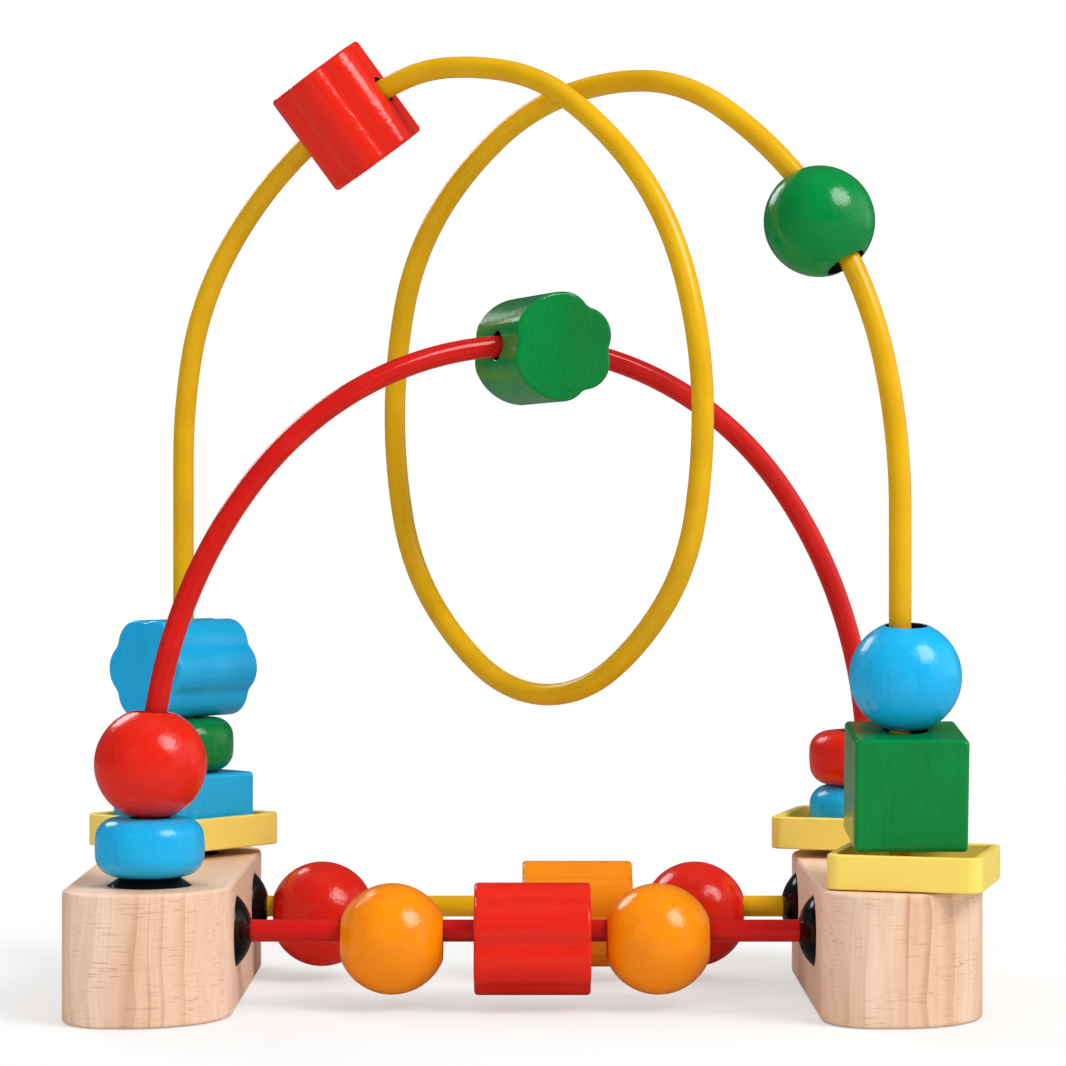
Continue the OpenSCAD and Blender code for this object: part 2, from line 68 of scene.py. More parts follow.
Tree = bpy.types.NodeTree
Node = bpy.types.Node
Socket = bpy.types.NodeSocket
Object = bpy.types.Object
Point = tuple[float, float]
Triple = tuple[float, float, float]

MM = 0.001
WELD = 0.002 * MM
GRAIN = "grain_place"
# Face attribute that marks the bores, where shade is painted into the colour
BORE_SHADE = "bore_shade"
GRAIN_STEP = Vector((0.31, 0.17, 0.23))
ALIKE = 1e-5
UP = Vector((0, 0, 1))
RIGHT = Vector((1, 0, 0))


def to_linear(code: str) -> tuple[float, float, float, float]:
    """Turns an sRGB hex colour into linear light.

    Args:
        code: Six hex digits, with or without a leading hash.

    Returns:
        Red, green, blue and an alpha of one.
    """
    digits = code.lstrip("#")
    shares = [int(digits[i : i + 2], 16) / 255 for i in (0, 2, 4)]
    red, green, blue = (s / 12.92 if s <= 0.04045 else ((s + 0.055) / 1.055) ** 2.4 for s in shares)
    return red, green, blue, 1.0


def node(tree: Tree, kind: str, inputs: dict | None = None, **settings: object) -> Node:
    """Adds one node with its settings, and links or fills its inputs.

    Args:
        tree: Node tree that gets the node.
        kind: Blender's name of the node's type, without the ShaderNode that it begins with.
        inputs: Values, sockets, or nodes whose first output counts, by input name or number.
        **settings: Properties of the node itself.

    Returns:
        The new node.
    """
    made = tree.nodes.new("ShaderNode" + kind)
    for name, value in settings.items():
        setattr(made, name, value)
    for name, value in (inputs or {}).items():
        if isinstance(value, Node):
            value = next(socket for socket in value.outputs if socket.enabled)
        if isinstance(value, Socket):
            tree.links.new(value, made.inputs[name])
        else:
            made.inputs[name].default_value = value
    return made


def per_mm(size: float) -> float:
    """Gives the noise scale whose features are this many millimetres wide."""
    return 1 / (size * MM)


class Slot(Enum):
    """Material slots of the record, each the name of one finish."""

    BEECH = "beech"
    STEEL = "steel_wire"
    YELLOW_SLEEVE = "yellow_sleeve"
    RED_SLEEVE = "red_sleeve"
    BLACK = "black_plastic"
    RED = "red_lacquer"
    GREEN = "green_lacquer"
    BLUE = "blue_lacquer"
    ORANGE = "orange_lacquer"
    TRAY = "pale_yellow_plastic"


@dataclass(frozen=True)
class Finish:
    """A material and how its surface was made.

    Attributes:
        name: Common name of the material and its process.
        colour: Main colour, sRGB hex.
    """

    name: str
    colour: str

    def make(self) -> bpy.types.Material:
        """Makes the material, with one shader that shows this finish.

        Returns:
            The material.
        """
        material = bpy.data.materials.new(self.name)
        material.use_nodes = True
        tree = material.node_tree
        tree.nodes.clear()
        inputs = {"Base Color": to_linear(self.colour), **self.look(tree)}
        shader = node(tree, "BsdfPrincipled", inputs)
        node(tree, "OutputMaterial", {"Surface": shader})
        return material

    def look(self, tree: Tree) -> dict[str, object]:
        """Gives the shader's inputs, which each kind of finish does its own way."""
        raise NotImplementedError


# Beech gives the eye a pale matt face with rings and short dark rays
@dataclass(frozen=True)
class SandedBeech(Finish):
    """Planed and sanded beech under a thin matt lacquer.

    The end faces show upright growth rings crossed by short fine rays. The long faces show the same
    rays as flecks along the grain.

    Attributes:
        late: Colour of the late wood along a ring.
        ray: Colour of the rays.
        patch: Colour of the darker bands.
        streak: Colour of the fine streaks.
        ring_mm: Mean distance between two rings.
        drift_mm: Distance over which the rings wander.
        uneven_mm: Distance over which their spacing changes.
        shift_mm: How far they wander.
        band_mm: Width of a band of strong or faint rings.
        streak_mm: Width of a fine streak.
        ray_mm: Length, width and height of a ray.
        group_mm: Width of a group of rays.
    """

    late: str = "#B78862"
    ray: str = "#A47350"
    patch: str = "#DEB293"
    streak: str = "#CFA685"
    ring_mm: float = 5.2
    drift_mm: float = 24
    uneven_mm: float = 8
    shift_mm: float = 11
    band_mm: float = 13
    streak_mm: float = 1.1
    ray_mm: Triple = (6, 3, 0.4)
    group_mm: float = 10

    def look(self, tree: Tree) -> dict[str, object]:
        """Gives rings across X, fine streaks between them, rays along X and a sanded bump.

        Args:
            tree: Node tree that gets the nodes.

        Returns:
            Inputs of the shader.
        """
        add = partial(node, tree)
        place = add("TexCoord").outputs["Object"]
        facing = add("SeparateXYZ", {0: add("NewGeometry").outputs["Normal"]}).outputs
        ringed = self.ring_place(tree, place)
        broad = add("Mapping", {"Vector": ringed, "Scale": (1, 0.06, 0.14)})
        bands = add("TexNoise", {"Vector": broad, "Scale": per_mm(self.band_mm), "Detail": 2})
        patches = add("MapRange", {"Value": bands, "From Min": 0.32, "From Max": 0.68})
        fibre = add("Mapping", {"Vector": ringed, "Scale": (1, 0.03, 0.05)})
        grain = {"Vector": fibre, "Scale": per_mm(self.streak_mm), "Detail": 3, "Roughness": 0.65}
        fine = add("TexNoise", grain)
        streaks = add("MapRange", {"Value": fine, "From Min": 0.42, "From Max": 0.78, "To Max": 0.45})
        rings = self.ring_share(tree, ringed, bands, facing["Y"])
        rays = self.ray_share(tree, place, facing["Z"])
        colour = to_linear(self.colour)
        layers = ((patches, self.patch), (streaks, self.streak), (rings, self.late), (rays, self.ray))
        for share, over in layers:
            colour = add("Mix", {"Factor": share, "A": colour, "B": to_linear(over)}, data_type="RGBA")
        relief = add("Math", {0: rays, 1: streaks}, operation="ADD")
        pores = add("Bump", {"Height": relief, "Strength": 0.2, "Distance": 0.05 * MM}, invert=True)
        return {"Base Color": colour, "Normal": pores, "Roughness": 0.5, "Specular IOR Level": 0.3}

    def ring_place(self, tree: Tree, place: Socket) -> Node:
        """Shifts places so that rings wander slowly and lie at uneven distances.

        Args:
            tree: Node tree that gets the nodes.
            place: Places on the object.

        Returns:
            The shifted places.
        """
        add = partial(node, tree)
        # Rings hardly change along the grain, which runs front to back, or up the tree
        slow = add("Mapping", {"Vector": place, "Scale": (1, 0.1, 0.45)})
        drift = add("TexNoise", {"Vector": slow, "Scale": per_mm(self.drift_mm), "Detail": 2})
        across = add("Mapping", {"Vector": place, "Scale": (1, 0.02, 0.03)})
        uneven = add("TexNoise", {"Vector": across, "Scale": per_mm(self.uneven_mm), "Detail": 0})
        both = add("Math", {0: uneven, 1: 0.7, 2: drift}, operation="MULTIPLY_ADD")
        shift = add("CombineXYZ", {"X": both})
        inputs = {0: shift, 1: (self.shift_mm * MM, 0, 0), 2: place}
        return add("VectorMath", inputs, operation="MULTIPLY_ADD")

    def ring_share(self, tree: Tree, ringed: Node, bands: Node, end_face: Socket) -> Node:
        """Draws the rings, some strong and most faint.

        Args:
            tree: Node tree that gets the nodes.
            ringed: Shifted places.
            bands: Where the rings are strong.
            end_face: How far a face looks along the grain.

        Returns:
            Share of late wood at each place.
        """
        add = partial(node, tree)
        # A wave node's bands repeat 20 times in 2 pi units
        waves = {"Vector": ringed, "Scale": per_mm(self.ring_mm) / 20 * 2 * math.pi}
        saw = {"wave_type": "BANDS", "bands_direction": "X", "wave_profile": "SAW"}
        rings = add("TexWave", waves, **saw).outputs["Fac"]
        # A ring darkens slowly and ends in a thin sharp line
        line = add("MapRange", {"Value": rings, "From Min": 0.55}, interpolation_type="SMOOTHERSTEP")
        # The long faces cut the rings flat, where they show only as faint bands
        along = add("Math", {0: end_face}, operation="ABSOLUTE")
        weight = add("MapRange", {"Value": along, "To Min": 0.22})
        strong = {"Value": bands, "From Min": 0.42, "From Max": 0.66, "To Min": 0.12, "To Max": 0.75}
        depth = add("Math", {0: add("MapRange", strong), 1: weight}, operation="MULTIPLY")
        return add("Math", {0: line, 1: depth}, operation="MULTIPLY")

    def ray_share(self, tree: Tree, place: Socket, level_face: Socket) -> Node:
        """Draws the rays: thin upward, long across the rings and gathered in groups.

        Args:
            tree: Node tree that gets the nodes.
            place: Places on the object.
            level_face: How far a face looks up or down.

        Returns:
            Share of ray colour at each place.
        """
        add = partial(node, tree)
        thin = add("Mapping", {"Vector": place, "Scale": [1 / size for size in self.ray_mm]})
        rays = add("TexNoise", {"Vector": thin, "Scale": per_mm(1), "Detail": 1, "Distortion": 0.2})
        dark = {"Value": rays, "From Min": 0.56, "From Max": 0.74, "To Max": 0.55}
        line = add("MapRange", dark, interpolation_type="SMOOTHSTEP")
        groups = add("TexNoise", {"Vector": place, "Scale": per_mm(self.group_mm), "Detail": 1})
        gathered = add("MapRange", {"Value": groups, "From Min": 0.3, "From Max": 0.64})
        # A face that looks up or down cuts the rays flat, where they hardly show
        flat = add("Math", {0: level_face}, operation="ABSOLUTE")
        shown = add("Math", {0: 1, 1: flat}, operation="SUBTRACT")
        weight = add("Math", {0: gathered, 1: shown}, operation="MULTIPLY")
        return add("Math", {0: line, 1: weight}, operation="MULTIPLY")


# Lacquer gives the eye a deep colour and bright spots with ragged edges
@dataclass(frozen=True)
class LacqueredWood(Finish):
    """Turned or sawn wood under a glossy coloured lacquer.

    The lacquer pools and thins, the grain under it prints through as fine streaks, and its skin is
    uneven, so that highlights have ragged edges.

    Attributes:
        deep: Colour where the lacquer is thick.
        bore_shade_colour: Near-black painted shade in the bore, standing in for the shade of the hollow.
        cloud_mm: Width of a pool of lacquer.
        streak_mm: Width of a grain streak.
        peel_mm: Width of the dimples of the skin.
        gloss: Roughness of the skin, from thin lacquer to thick.
    """

    deep: str = "#000000"
    bore_shade_colour: str = "#1C120E"
    cloud_mm: float = 11
    streak_mm: float = 0.8
    peel_mm: float = 1.2
    gloss: Point = (0.14, 0.24)

    def look(self, tree: Tree) -> dict[str, object]:
        """Gives colour clouds, grain streaks, an uneven glossy skin and painted shade in the bores.

        Args:
            tree: Node tree that gets the nodes.

        Returns:
            Inputs of the shader.
        """
        add = partial(node, tree)
        place = add("Attribute", attribute_name=GRAIN).outputs["Vector"]
        # One on the bore's faces, where shade is painted
        bore = add("Attribute", attribute_name=BORE_SHADE).outputs["Fac"]
        clouds = add("TexNoise", {"Vector": place, "Scale": per_mm(self.cloud_mm), "Detail": 2})
        # The grain runs along each bead's own length
        fibre = add("Mapping", {"Vector": place, "Scale": (1, 1, 0.05)})
        grain = {"Vector": fibre, "Scale": per_mm(self.streak_mm), "Detail": 3, "Roughness": 0.6}
        streaks = add("TexNoise", grain)
        mottle = add("Math", {0: clouds, 1: streaks}, operation="MULTIPLY")
        pools = {"Value": mottle, "From Min": 0.08, "From Max": 0.45, "To Max": 0.5}
        thick = add("MapRange", pools, interpolation_type="SMOOTHSTEP")
        colour = to_linear(self.colour)
        # The bore's faces take the near-black painted shade
        for share, over in ((thick, self.deep), (bore, self.bore_shade_colour)):
            colour = add("Mix", {"Factor": share, "A": colour, "B": to_linear(over)}, data_type="RGBA")
        peel = add("TexNoise", {"Vector": place, "Scale": per_mm(self.peel_mm), "Detail": 1})
        skin = add("Bump", {"Height": peel, "Strength": 0.6, "Distance": 0.14 * MM})
        printed = {"Height": streaks, "Strength": 0.12, "Distance": 0.05 * MM, "Normal": skin}
        low, high = self.gloss
        gloss = {"Value": clouds, "From Min": 0.3, "From Max": 0.7, "To Min": low, "To Max": high}
        return {
            "Base Color": colour,
            "Normal": add("Bump", printed),
            "Roughness": add("MapRange", gloss),
            "Specular IOR Level": 0.36,
        }


# A sleeve gives the eye one even colour and a long satin line of light
@dataclass(frozen=True)
class ExtrudedSleeve(Finish):
    """Soft plastic sleeve drawn over a wire: satin, with faint draw waves and handling marks.

    Attributes:
        deep: Colour of the darker waves.
        gloss: Mean roughness of the skin.
        wave_mm: Length of a colour wave.
        draw_mm: Length of a wave left by drawing.
        scuff_mm: Width of a scuff from handling.
    """

    deep: str = "#000000"
    gloss: float = 0.3
    wave_mm: float = 14
    draw_mm: float = 9
    scuff_mm: float = 3

    def look(self, tree: Tree) -> dict[str, object]:
        """Gives slow colour waves and a slightly uneven satin skin.

        Args:
            tree: Node tree that gets the nodes.

        Returns:
            Inputs of the shader.
        """
        add = partial(node, tree)
        place = add("TexCoord").outputs["Object"]
        waves = add("TexNoise", {"Vector": place, "Scale": per_mm(self.wave_mm), "Detail": 3})
        tint = add("MapRange", {"Value": waves, "From Min": 0.35, "From Max": 0.75, "To Max": 0.6})
        colours = {"Factor": tint, "A": to_linear(self.colour), "B": to_linear(self.deep)}
        draw = add("TexNoise", {"Vector": place, "Scale": per_mm(self.draw_mm), "Detail": 0})
        # Scuffs are too fine to be seen as relief, so only the gloss changes
        scuffs = add("TexNoise", {"Vector": place, "Scale": per_mm(self.scuff_mm), "Detail": 1})
        gloss = {"Value": scuffs, "To Min": self.gloss * 0.75, "To Max": self.gloss * 1.3}
        return {
            "Base Color": add("Mix", colours, data_type="RGBA"),
            "Normal": add("Bump", {"Height": draw, "Strength": 0.15, "Distance": 0.1 * MM}),
            "Roughness": add("MapRange", gloss),
            "Specular IOR Level": 0.3,
        }


# Moulded plastic gives the eye a plain colour and soft lights on its edges
@dataclass(frozen=True)
class MouldedPlastic(Finish):
    """Injection moulded plastic: even colour, with a fine texture from the mould.

    Attributes:
        gloss: Mean roughness of the skin.
        relief: Strength of the mould's texture.
        texture_mm: Width of that texture.
        flow_mm: Width of a flow mark, where the gloss changes.
    """

    gloss: float = 0.3
    relief: float = 0.1
    # A real mould's texture is finer, and this is as wide as it needs to be to show
    texture_mm: float = 0.6
    flow_mm: float = 12

    def look(self, tree: Tree) -> dict[str, object]:
        """Gives a fine mould texture and slow changes of gloss.

        Args:
            tree: Node tree that gets the nodes.

        Returns:
            Inputs of the shader.
        """
        add = partial(node, tree)
        place = add("TexCoord").outputs["Object"]
        texture = add("TexNoise", {"Vector": place, "Scale": per_mm(self.texture_mm), "Detail": 2})
        flow = add("TexNoise", {"Vector": place, "Scale": per_mm(self.flow_mm), "Detail": 2})
        gloss = {"Value": flow, "To Min": self.gloss * 0.8, "To Max": self.gloss * 1.25}
        return {
            "Normal": add("Bump", {"Height": texture, "Strength": self.relief, "Distance": 0.05 * MM}),
            "Roughness": add("MapRange", gloss),
            "Specular IOR Level": 0.28,
        }


# Drawn steel gives the eye a grey mirror, dulled in spots
@dataclass(frozen=True)
class DrawnSteel(Finish):
    """Spring steel wire, drawn through a die: grey metal with fine scratches.

    Attributes:
        scratch_mm: Width of a scratched spot.
        gloss: Roughness, from a smooth spot to a scratched one.
    """

    scratch_mm: float = 0.8
    gloss: Point = (0.25, 0.45)

    def look(self, tree: Tree) -> dict[str, object]:
        """Gives a plain metal with a roughness that varies.

        Args:
            tree: Node tree that gets the nodes.

        Returns:
            Inputs of the shader.
        """
        add = partial(node, tree)
        place = add("TexCoord").outputs["Object"]
        scratches = add("TexNoise", {"Vector": place, "Scale": per_mm(self.scratch_mm), "Detail": 3})
        low, high = self.gloss
        rough = add("MapRange", {"Value": scratches, "To Min": low, "To Max": high})
        return {"Roughness": rough, "Metallic": 1}


FINISHES: dict[Slot, Finish] = {
    Slot.BEECH: SandedBeech("Sanded beech", "#EFCFB8"),
    Slot.STEEL: DrawnSteel("Drawn spring steel", "#B8BCC0"),
    Slot.YELLOW_SLEEVE: ExtrudedSleeve("Extruded yellow sleeve", "#DDAA06", deep="#C99500", gloss=0.24),
    Slot.RED_SLEEVE: ExtrudedSleeve("Extruded red sleeve", "#C91C17", deep="#AD120F", gloss=0.13),
    Slot.BLACK: MouldedPlastic("Moulded black plastic", "#0C0B0C", gloss=0.14, relief=0.04),
    Slot.RED: LacqueredWood("Red lacquer on wood", "#E02411", deep="#C6170C"),
    Slot.GREEN: LacqueredWood("Green lacquer on wood", "#00853C", deep="#00692B"),
    Slot.BLUE: LacqueredWood("Light blue lacquer on wood", "#1CB0E6", deep="#0094D2"),
    Slot.ORANGE: LacqueredWood("Orange lacquer on wood", "#F48D08", deep="#E87604"),
    Slot.TRAY: MouldedPlastic("Moulded pale yellow plastic", "#F3D765", gloss=0.36, relief=0.06),
}


class Bench:
    """Modelling steps that every piece shares.

    Attributes:
        sharp: Angle in degrees above which an edge is rounded.
        materials: Material of each slot.
    """

    sharp: float = 40

    def __init__(self) -> None:
        """Makes each finish once."""
        self.materials = {slot: finish.make() for slot, finish in FINISHES.items()}

    def pick(self, piece: Object) -> None:
        """Selects one object alone and makes it the active one."""
        bpy.ops.object.select_all(action="DESELECT")
        piece.select_set(True)
        bpy.context.view_layer.objects.active = piece

    def weld(self, piece: Object) -> None:
        """Merges points that lie on each other, so that the mesh is closed."""
        self.pick(piece)
        bpy.ops.object.mode_set(mode="EDIT")
        bpy.ops.mesh.select_all(action="SELECT")
        bpy.ops.mesh.remove_doubles(threshold=WELD)
        bpy.ops.object.mode_set(mode="OBJECT")

    def outline(self, points: list[Vector], closed: bool = True) -> Object:
        """Draws an outline by extruding one point from corner to corner.

        Args:
            points: Corners in order.
            closed: Whether the last corner joins the first.

        Returns:
            A mesh of edges, left in edit mode with all of it selected.
        """
        bpy.ops.object.select_all(action="DESELECT")
        bpy.ops.mesh.primitive_plane_add(size=MM)
        drawn = bpy.context.active_object
        bpy.ops.object.mode_set(mode="EDIT")
        bpy.ops.mesh.select_all(action="SELECT")
        bpy.ops.mesh.merge(type="CENTER")
        bpy.ops.transform.translate(value=points[0])
        route = points + points[:1] if closed else points
        for here, there in pairwise(route):
            bpy.ops.mesh.extrude_vertices_move(TRANSFORM_OT_translate={"value": there - here})
        bpy.ops.mesh.select_all(action="SELECT")
        bpy.ops.mesh.remove_doubles(threshold=WELD)
        return drawn

    def lathe(self, section: list[Point], closed: bool = True, steps: int = 72) -> Object:
        """Turns a half section round the upright axis.

        Args:
            section: Radius and height of each corner.
            closed: Whether the section is a ring, rather than open along the axis.
            steps: Number of sides of the turned piece.

        Returns:
            A closed mesh, in object mode.
        """
        turned = self.outline([Vector((r, 0, z)) for r, z in section], closed)
        bpy.ops.mesh.spin(steps=steps, angle=2 * math.pi, center=(0, 0, 0), axis=(0, 0, 1))
        bpy.ops.mesh.select_all(action="SELECT")
        bpy.ops.mesh.remove_doubles(threshold=WELD)
        bpy.ops.mesh.normals_make_consistent(inside=False)
        bpy.ops.object.mode_set(mode="OBJECT")
        return turned

    def prism(self, outline: list[Point], low: float, high: float) -> Object:
        """Fills a flat outline and pulls it up.

        Args:
            outline: Corners in plan.
            low: Height of the underside.
            high: Height of the top.

        Returns:
            A closed mesh, in object mode.
        """
        pulled = self.outline([Vector((x, y, low)) for x, y in outline])
        bpy.ops.mesh.edge_face_add()
        bpy.ops.mesh.extrude_region_move(TRANSFORM_OT_translate={"value": (0, 0, high - low)})
        bpy.ops.mesh.select_all(action="SELECT")
        bpy.ops.mesh.normals_make_consistent(inside=False)
        bpy.ops.object.mode_set(mode="OBJECT")
        return pulled

    def modify(self, piece: Object, kind: str, **settings: object) -> None:
        """Adds a modifier with its settings and applies it.

        Args:
            piece: Object to change.
            kind: Blender's name of the modifier's type.
            **settings: Properties of the modifier.
        """
        self.pick(piece)
        modifier = piece.modifiers.new(kind.lower(), kind)
        for name, value in settings.items():
            setattr(modifier, name, value)
        bpy.ops.object.modifier_apply(modifier=modifier.name)

    def round_edges(self, piece: Object, radius: float, segments: int = 4) -> None:
        """Rounds every sharp edge of a piece.

        Args:
            piece: Object to change.
            radius: Width of the rounding.
            segments: Number of facets across it.
        """
        self.modify(
            piece,
            "BEVEL",
            width=radius,
            segments=segments,
            limit_method="ANGLE",
            angle_limit=math.radians(self.sharp),
            use_clamp_overlap=True,
        )

    def cut(self, piece: Object, cutter: Object) -> None:
        """Cuts one mesh out of another and deletes the cutter.

        Args:
            piece: Object to cut.
            cutter: Closed mesh that is taken away.
        """
        self.modify(piece, "BOOLEAN", operation="DIFFERENCE", solver="EXACT", object=cutter)
        bpy.data.meshes.remove(cutter.data)
        self.weld(piece)

    def bore(self, radius: float, half: float, flare: float) -> Object:
        """Makes a drill for a bore whose mouths are eased.

        Args:
            radius: Radius of the bore.
            half: Half the length of the bead.
            flare: Radius of the easing at each mouth.

        Returns:
            A closed mesh to cut with.
        """
        past = 2 * half
        upper = arc((radius + flare, half - flare), flare, 180, 90, 6)
        top = [*upper, (radius + flare, past), (0, past)]
        bottom = [(r, -z) for r, z in reversed(top)]
        return self.lathe([*bottom, *top], closed=False, steps=64)

    def smooth(self, piece: Object) -> None:
        """Shades a piece smooth, with flat faces kept flat."""
        self.pick(piece)
        bpy.ops.object.shade_smooth()
        self.modify(piece, "WEIGHTED_NORMAL", weight=80, keep_sharp=False)

    def remember_grain(self, piece: Object, offset: Vector, crosswise: bool) -> None:
        """Keeps each point's own place on the piece, so that the grain turns with it.

        Args:
            piece: Object at its own middle, with its bore along Z.
            offset: Shift that gives the piece its own part of the pattern.
            crosswise: Whether the grain runs along X, across the bore.
        """
        places = piece.data.attributes.new(GRAIN, "FLOAT_VECTOR", "POINT")
        own = [vertex.co.zyx if crosswise else vertex.co for vertex in piece.data.vertices]
        places.data.foreach_set("vector", [c for co in own for c in co + offset])

    def paint_bore_shade(self, piece: Object, radius: float) -> None:
        """Marks the faces in the bore, where shade is painted darker than the outside.

        Args:
            piece: Object at its own middle, with its bore along Z.
            radius: Radius within which a face belongs to the bore.
        """
        shade = piece.data.attributes.new(BORE_SHADE, "FLOAT", "FACE")
        points = piece.data.vertices
        reach = [max(points[i].co.xy.length for i in face.vertices) for face in piece.data.polygons]
        shade.data.foreach_set("value", [float(far < radius) for far in reach])

    def copy(self, piece: Object) -> Object:
        """Copies a modelled piece with a mesh of its own."""
        twin = piece.copy()
        twin.data = piece.data.copy()
        bpy.context.scene.collection.objects.link(twin)
        return twin

    def scrap(self, piece: Object) -> None:
        """Deletes a pattern piece once its copies are made."""
        bpy.data.meshes.remove(piece.data)

    def seat(self, piece: Object, place: Matrix, part: str, slot: Slot, body: str) -> None:
        """Sets a finished piece in the frame, in place of its CAD node.

        Args:
            piece: Object at its own middle.
            place: Where its middle goes and how it turns.
            part: CAD node that it stands for.
            slot: Finish that it takes.
            body: CAD body that it moves with.
        """
        self.pick(piece)
        piece.matrix_world = place
        bpy.ops.object.transform_apply(location=True, rotation=True, scale=True)
        piece.name = f"{part}_finished"
        piece.data.name = piece.name
        piece.data.materials.clear()
        piece.data.materials.append(self.materials[slot])
        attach(piece, body)
        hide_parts(part)
        log.info("%s: %d faces, %s, on %s", piece.name, len(piece.data.polygons), slot.value, body)


def arc(centre: Point, radius: float, start: float, end: float, steps: int) -> list[Point]:
    """Gives points on an arc, both ends included.

    Args:
        centre: Middle of the arc.
        radius: Radius of the arc.
        start: First angle in degrees.
        end: Last angle in degrees.
        steps: Number of chords.

    Returns:
        The points in order.
    """
    angles = [math.radians(start + (end - start) * i / steps) for i in range(steps + 1)]
    return [(centre[0] + radius * math.cos(a), centre[1] + radius * math.sin(a)) for a in angles]


def ease(corners: list[Triple], steps: int = 5) -> list[Point]:
    """Rounds the corners of a closed outline.

    Args:
        corners: Place of each corner and the radius that rounds it, zero for none.
        steps: Number of chords of each rounding.

    Returns:
        The outline's points.
    """
    points: list[Point] = []
    for i, (x, y, radius) in enumerate(corners):
        here = Vector((x, y))
        if radius == 0:
            points.append((x, y))
            continue
        back = (Vector(corners[i - 1][:2]) - here).normalized()
        ahead = (Vector(corners[(i + 1) % len(corners)][:2]) - here).normalized()
        half = back.angle(ahead) / 2
        middle = here + (back + ahead).normalized() * radius / math.sin(half)
        first = here + back * radius / math.tan(half) - middle
        last = here + ahead * radius / math.tan(half) - middle
        for k in range(steps + 1):
            spoke = first.lerp(last, k / steps).normalized() * radius
            points.append(tuple(middle + spoke))
    return points


def round_rectangle(width: float, depth: float, radii: tuple[float, float, float, float]) -> list[Point]:
    """Gives a rectangle with a round corner in each quarter.

    Args:
        width: Size along X.
        depth: Size along Y.
        radii: Corner radii from the front left one round to the right.

    Returns:
        The outline, anticlockwise from above.
    """
    x, y = width / 2, depth / 2
    signs = ((-1, -1), (1, -1), (1, 1), (-1, 1))
    points: list[Point] = []
    for quarter, ((sx, sy), radius) in enumerate(zip(signs, radii)):
        start = 180 + 90 * quarter
        middle = (sx * (x - radius), sy * (y - radius))
        points += arc(middle, radius, start, start + 90, 12)
    return points


def middle_of(part: str) -> Vector:
    """Gives the middle of a CAD node's box."""
    low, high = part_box(part)
    return (low + high) / 2


def frame_matrix(origin: Vector, x: Vector, z: Vector) -> Matrix:
    """Gives the matrix of a frame with these X and Z axes.

    Args:
        origin: Where the frame's middle is.
        x: Direction of its X axis.
        z: Direction of its Z axis, square to X.

    Returns:
        The matrix from the frame to the world.
    """
    axes = Matrix((x, z.cross(x), z)).transposed().to_4x4()
    return Matrix.Translation(origin) @ axes


@dataclass
class EndBlocks:
    """The two beech blocks, with sunk seats for the plugs.

    Attributes:
        bench: Modelling steps.
        wide_r: Radius of the front right and rear left corners.
        tight_r: Radius of the other two corners.
        edge_r: Rounding of the top and bottom edges.
        seat_gap: Dark ring left open round a plug's flange.
        seat_depth: Depth of a plug's seat below the face.
        shank: Depth of a plug's inner end below the face.
        clear: How far a seat's cutter reaches out.
    """

    bench: Bench
    wide_r: float = 25 * MM
    tight_r: float = 14 * MM
    edge_r: float = 1.1 * MM
    seat_gap: float = 0.4 * MM
    seat_depth: float = 2.2 * MM
    shank: float = 12 * MM
    clear: float = 30 * MM

    def build(self) -> None:
        """Makes both blocks."""
        for side in ("left", "right"):
            self.block(side)

    def block(self, side: str) -> None:
        """Makes one block.

        Args:
            side: Which end it stands at.
        """
        part = f"{side}_block"
        low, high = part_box(part)
        size = high - low
        corners = (self.tight_r, self.wide_r, self.tight_r, self.wide_r)
        body = self.bench.prism(round_rectangle(size.x, size.y, corners), low.z, high.z)
        self.bench.round_edges(body, self.edge_r)
        middle = middle_of(part)
        shift = Vector((middle.x, middle.y, 0))
        for row in ("front", "rear"):
            self.sink(body, f"grommet_{row}_{side}", shift, UP)
            self.sink(body, f"bar_cap_{row}_{side}", shift, RIGHT if side == "left" else -RIGHT)
        self.bench.smooth(body)
        self.bench.seat(body, Matrix.Translation(shift), part, Slot.BEECH, "base")

    def sink(self, body: Object, plug: str, shift: Vector, outward: Vector) -> None:
        """Cuts the seat of one plug into a block.

        Args:
            body: Block at its own middle.
            plug: CAD node of the plug.
            shift: Place of the block's middle.
            outward: Direction out of the face.
        """
        low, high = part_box(plug)
        across = max(range(3), key=lambda i: abs(outward[i]))
        radius = max(high[i] - low[i] for i in range(3) if i != across) / 2 + self.seat_gap
        inner_end = low[across] if outward[across] > 0 else high[across]
        floor = middle_of(plug)
        floor[across] = inner_end + outward[across] * (self.shank - self.seat_depth)
        seat = [(0, 0), (radius, 0), (radius, self.clear), (0, self.clear)]
        cutter = self.bench.lathe(seat, closed=False)
        turn = UP.rotation_difference(outward).to_matrix().to_4x4()
        cutter.matrix_world = Matrix.Translation(floor - shift) @ turn
        bpy.context.view_layer.update()
        self.bench.cut(body, cutter)


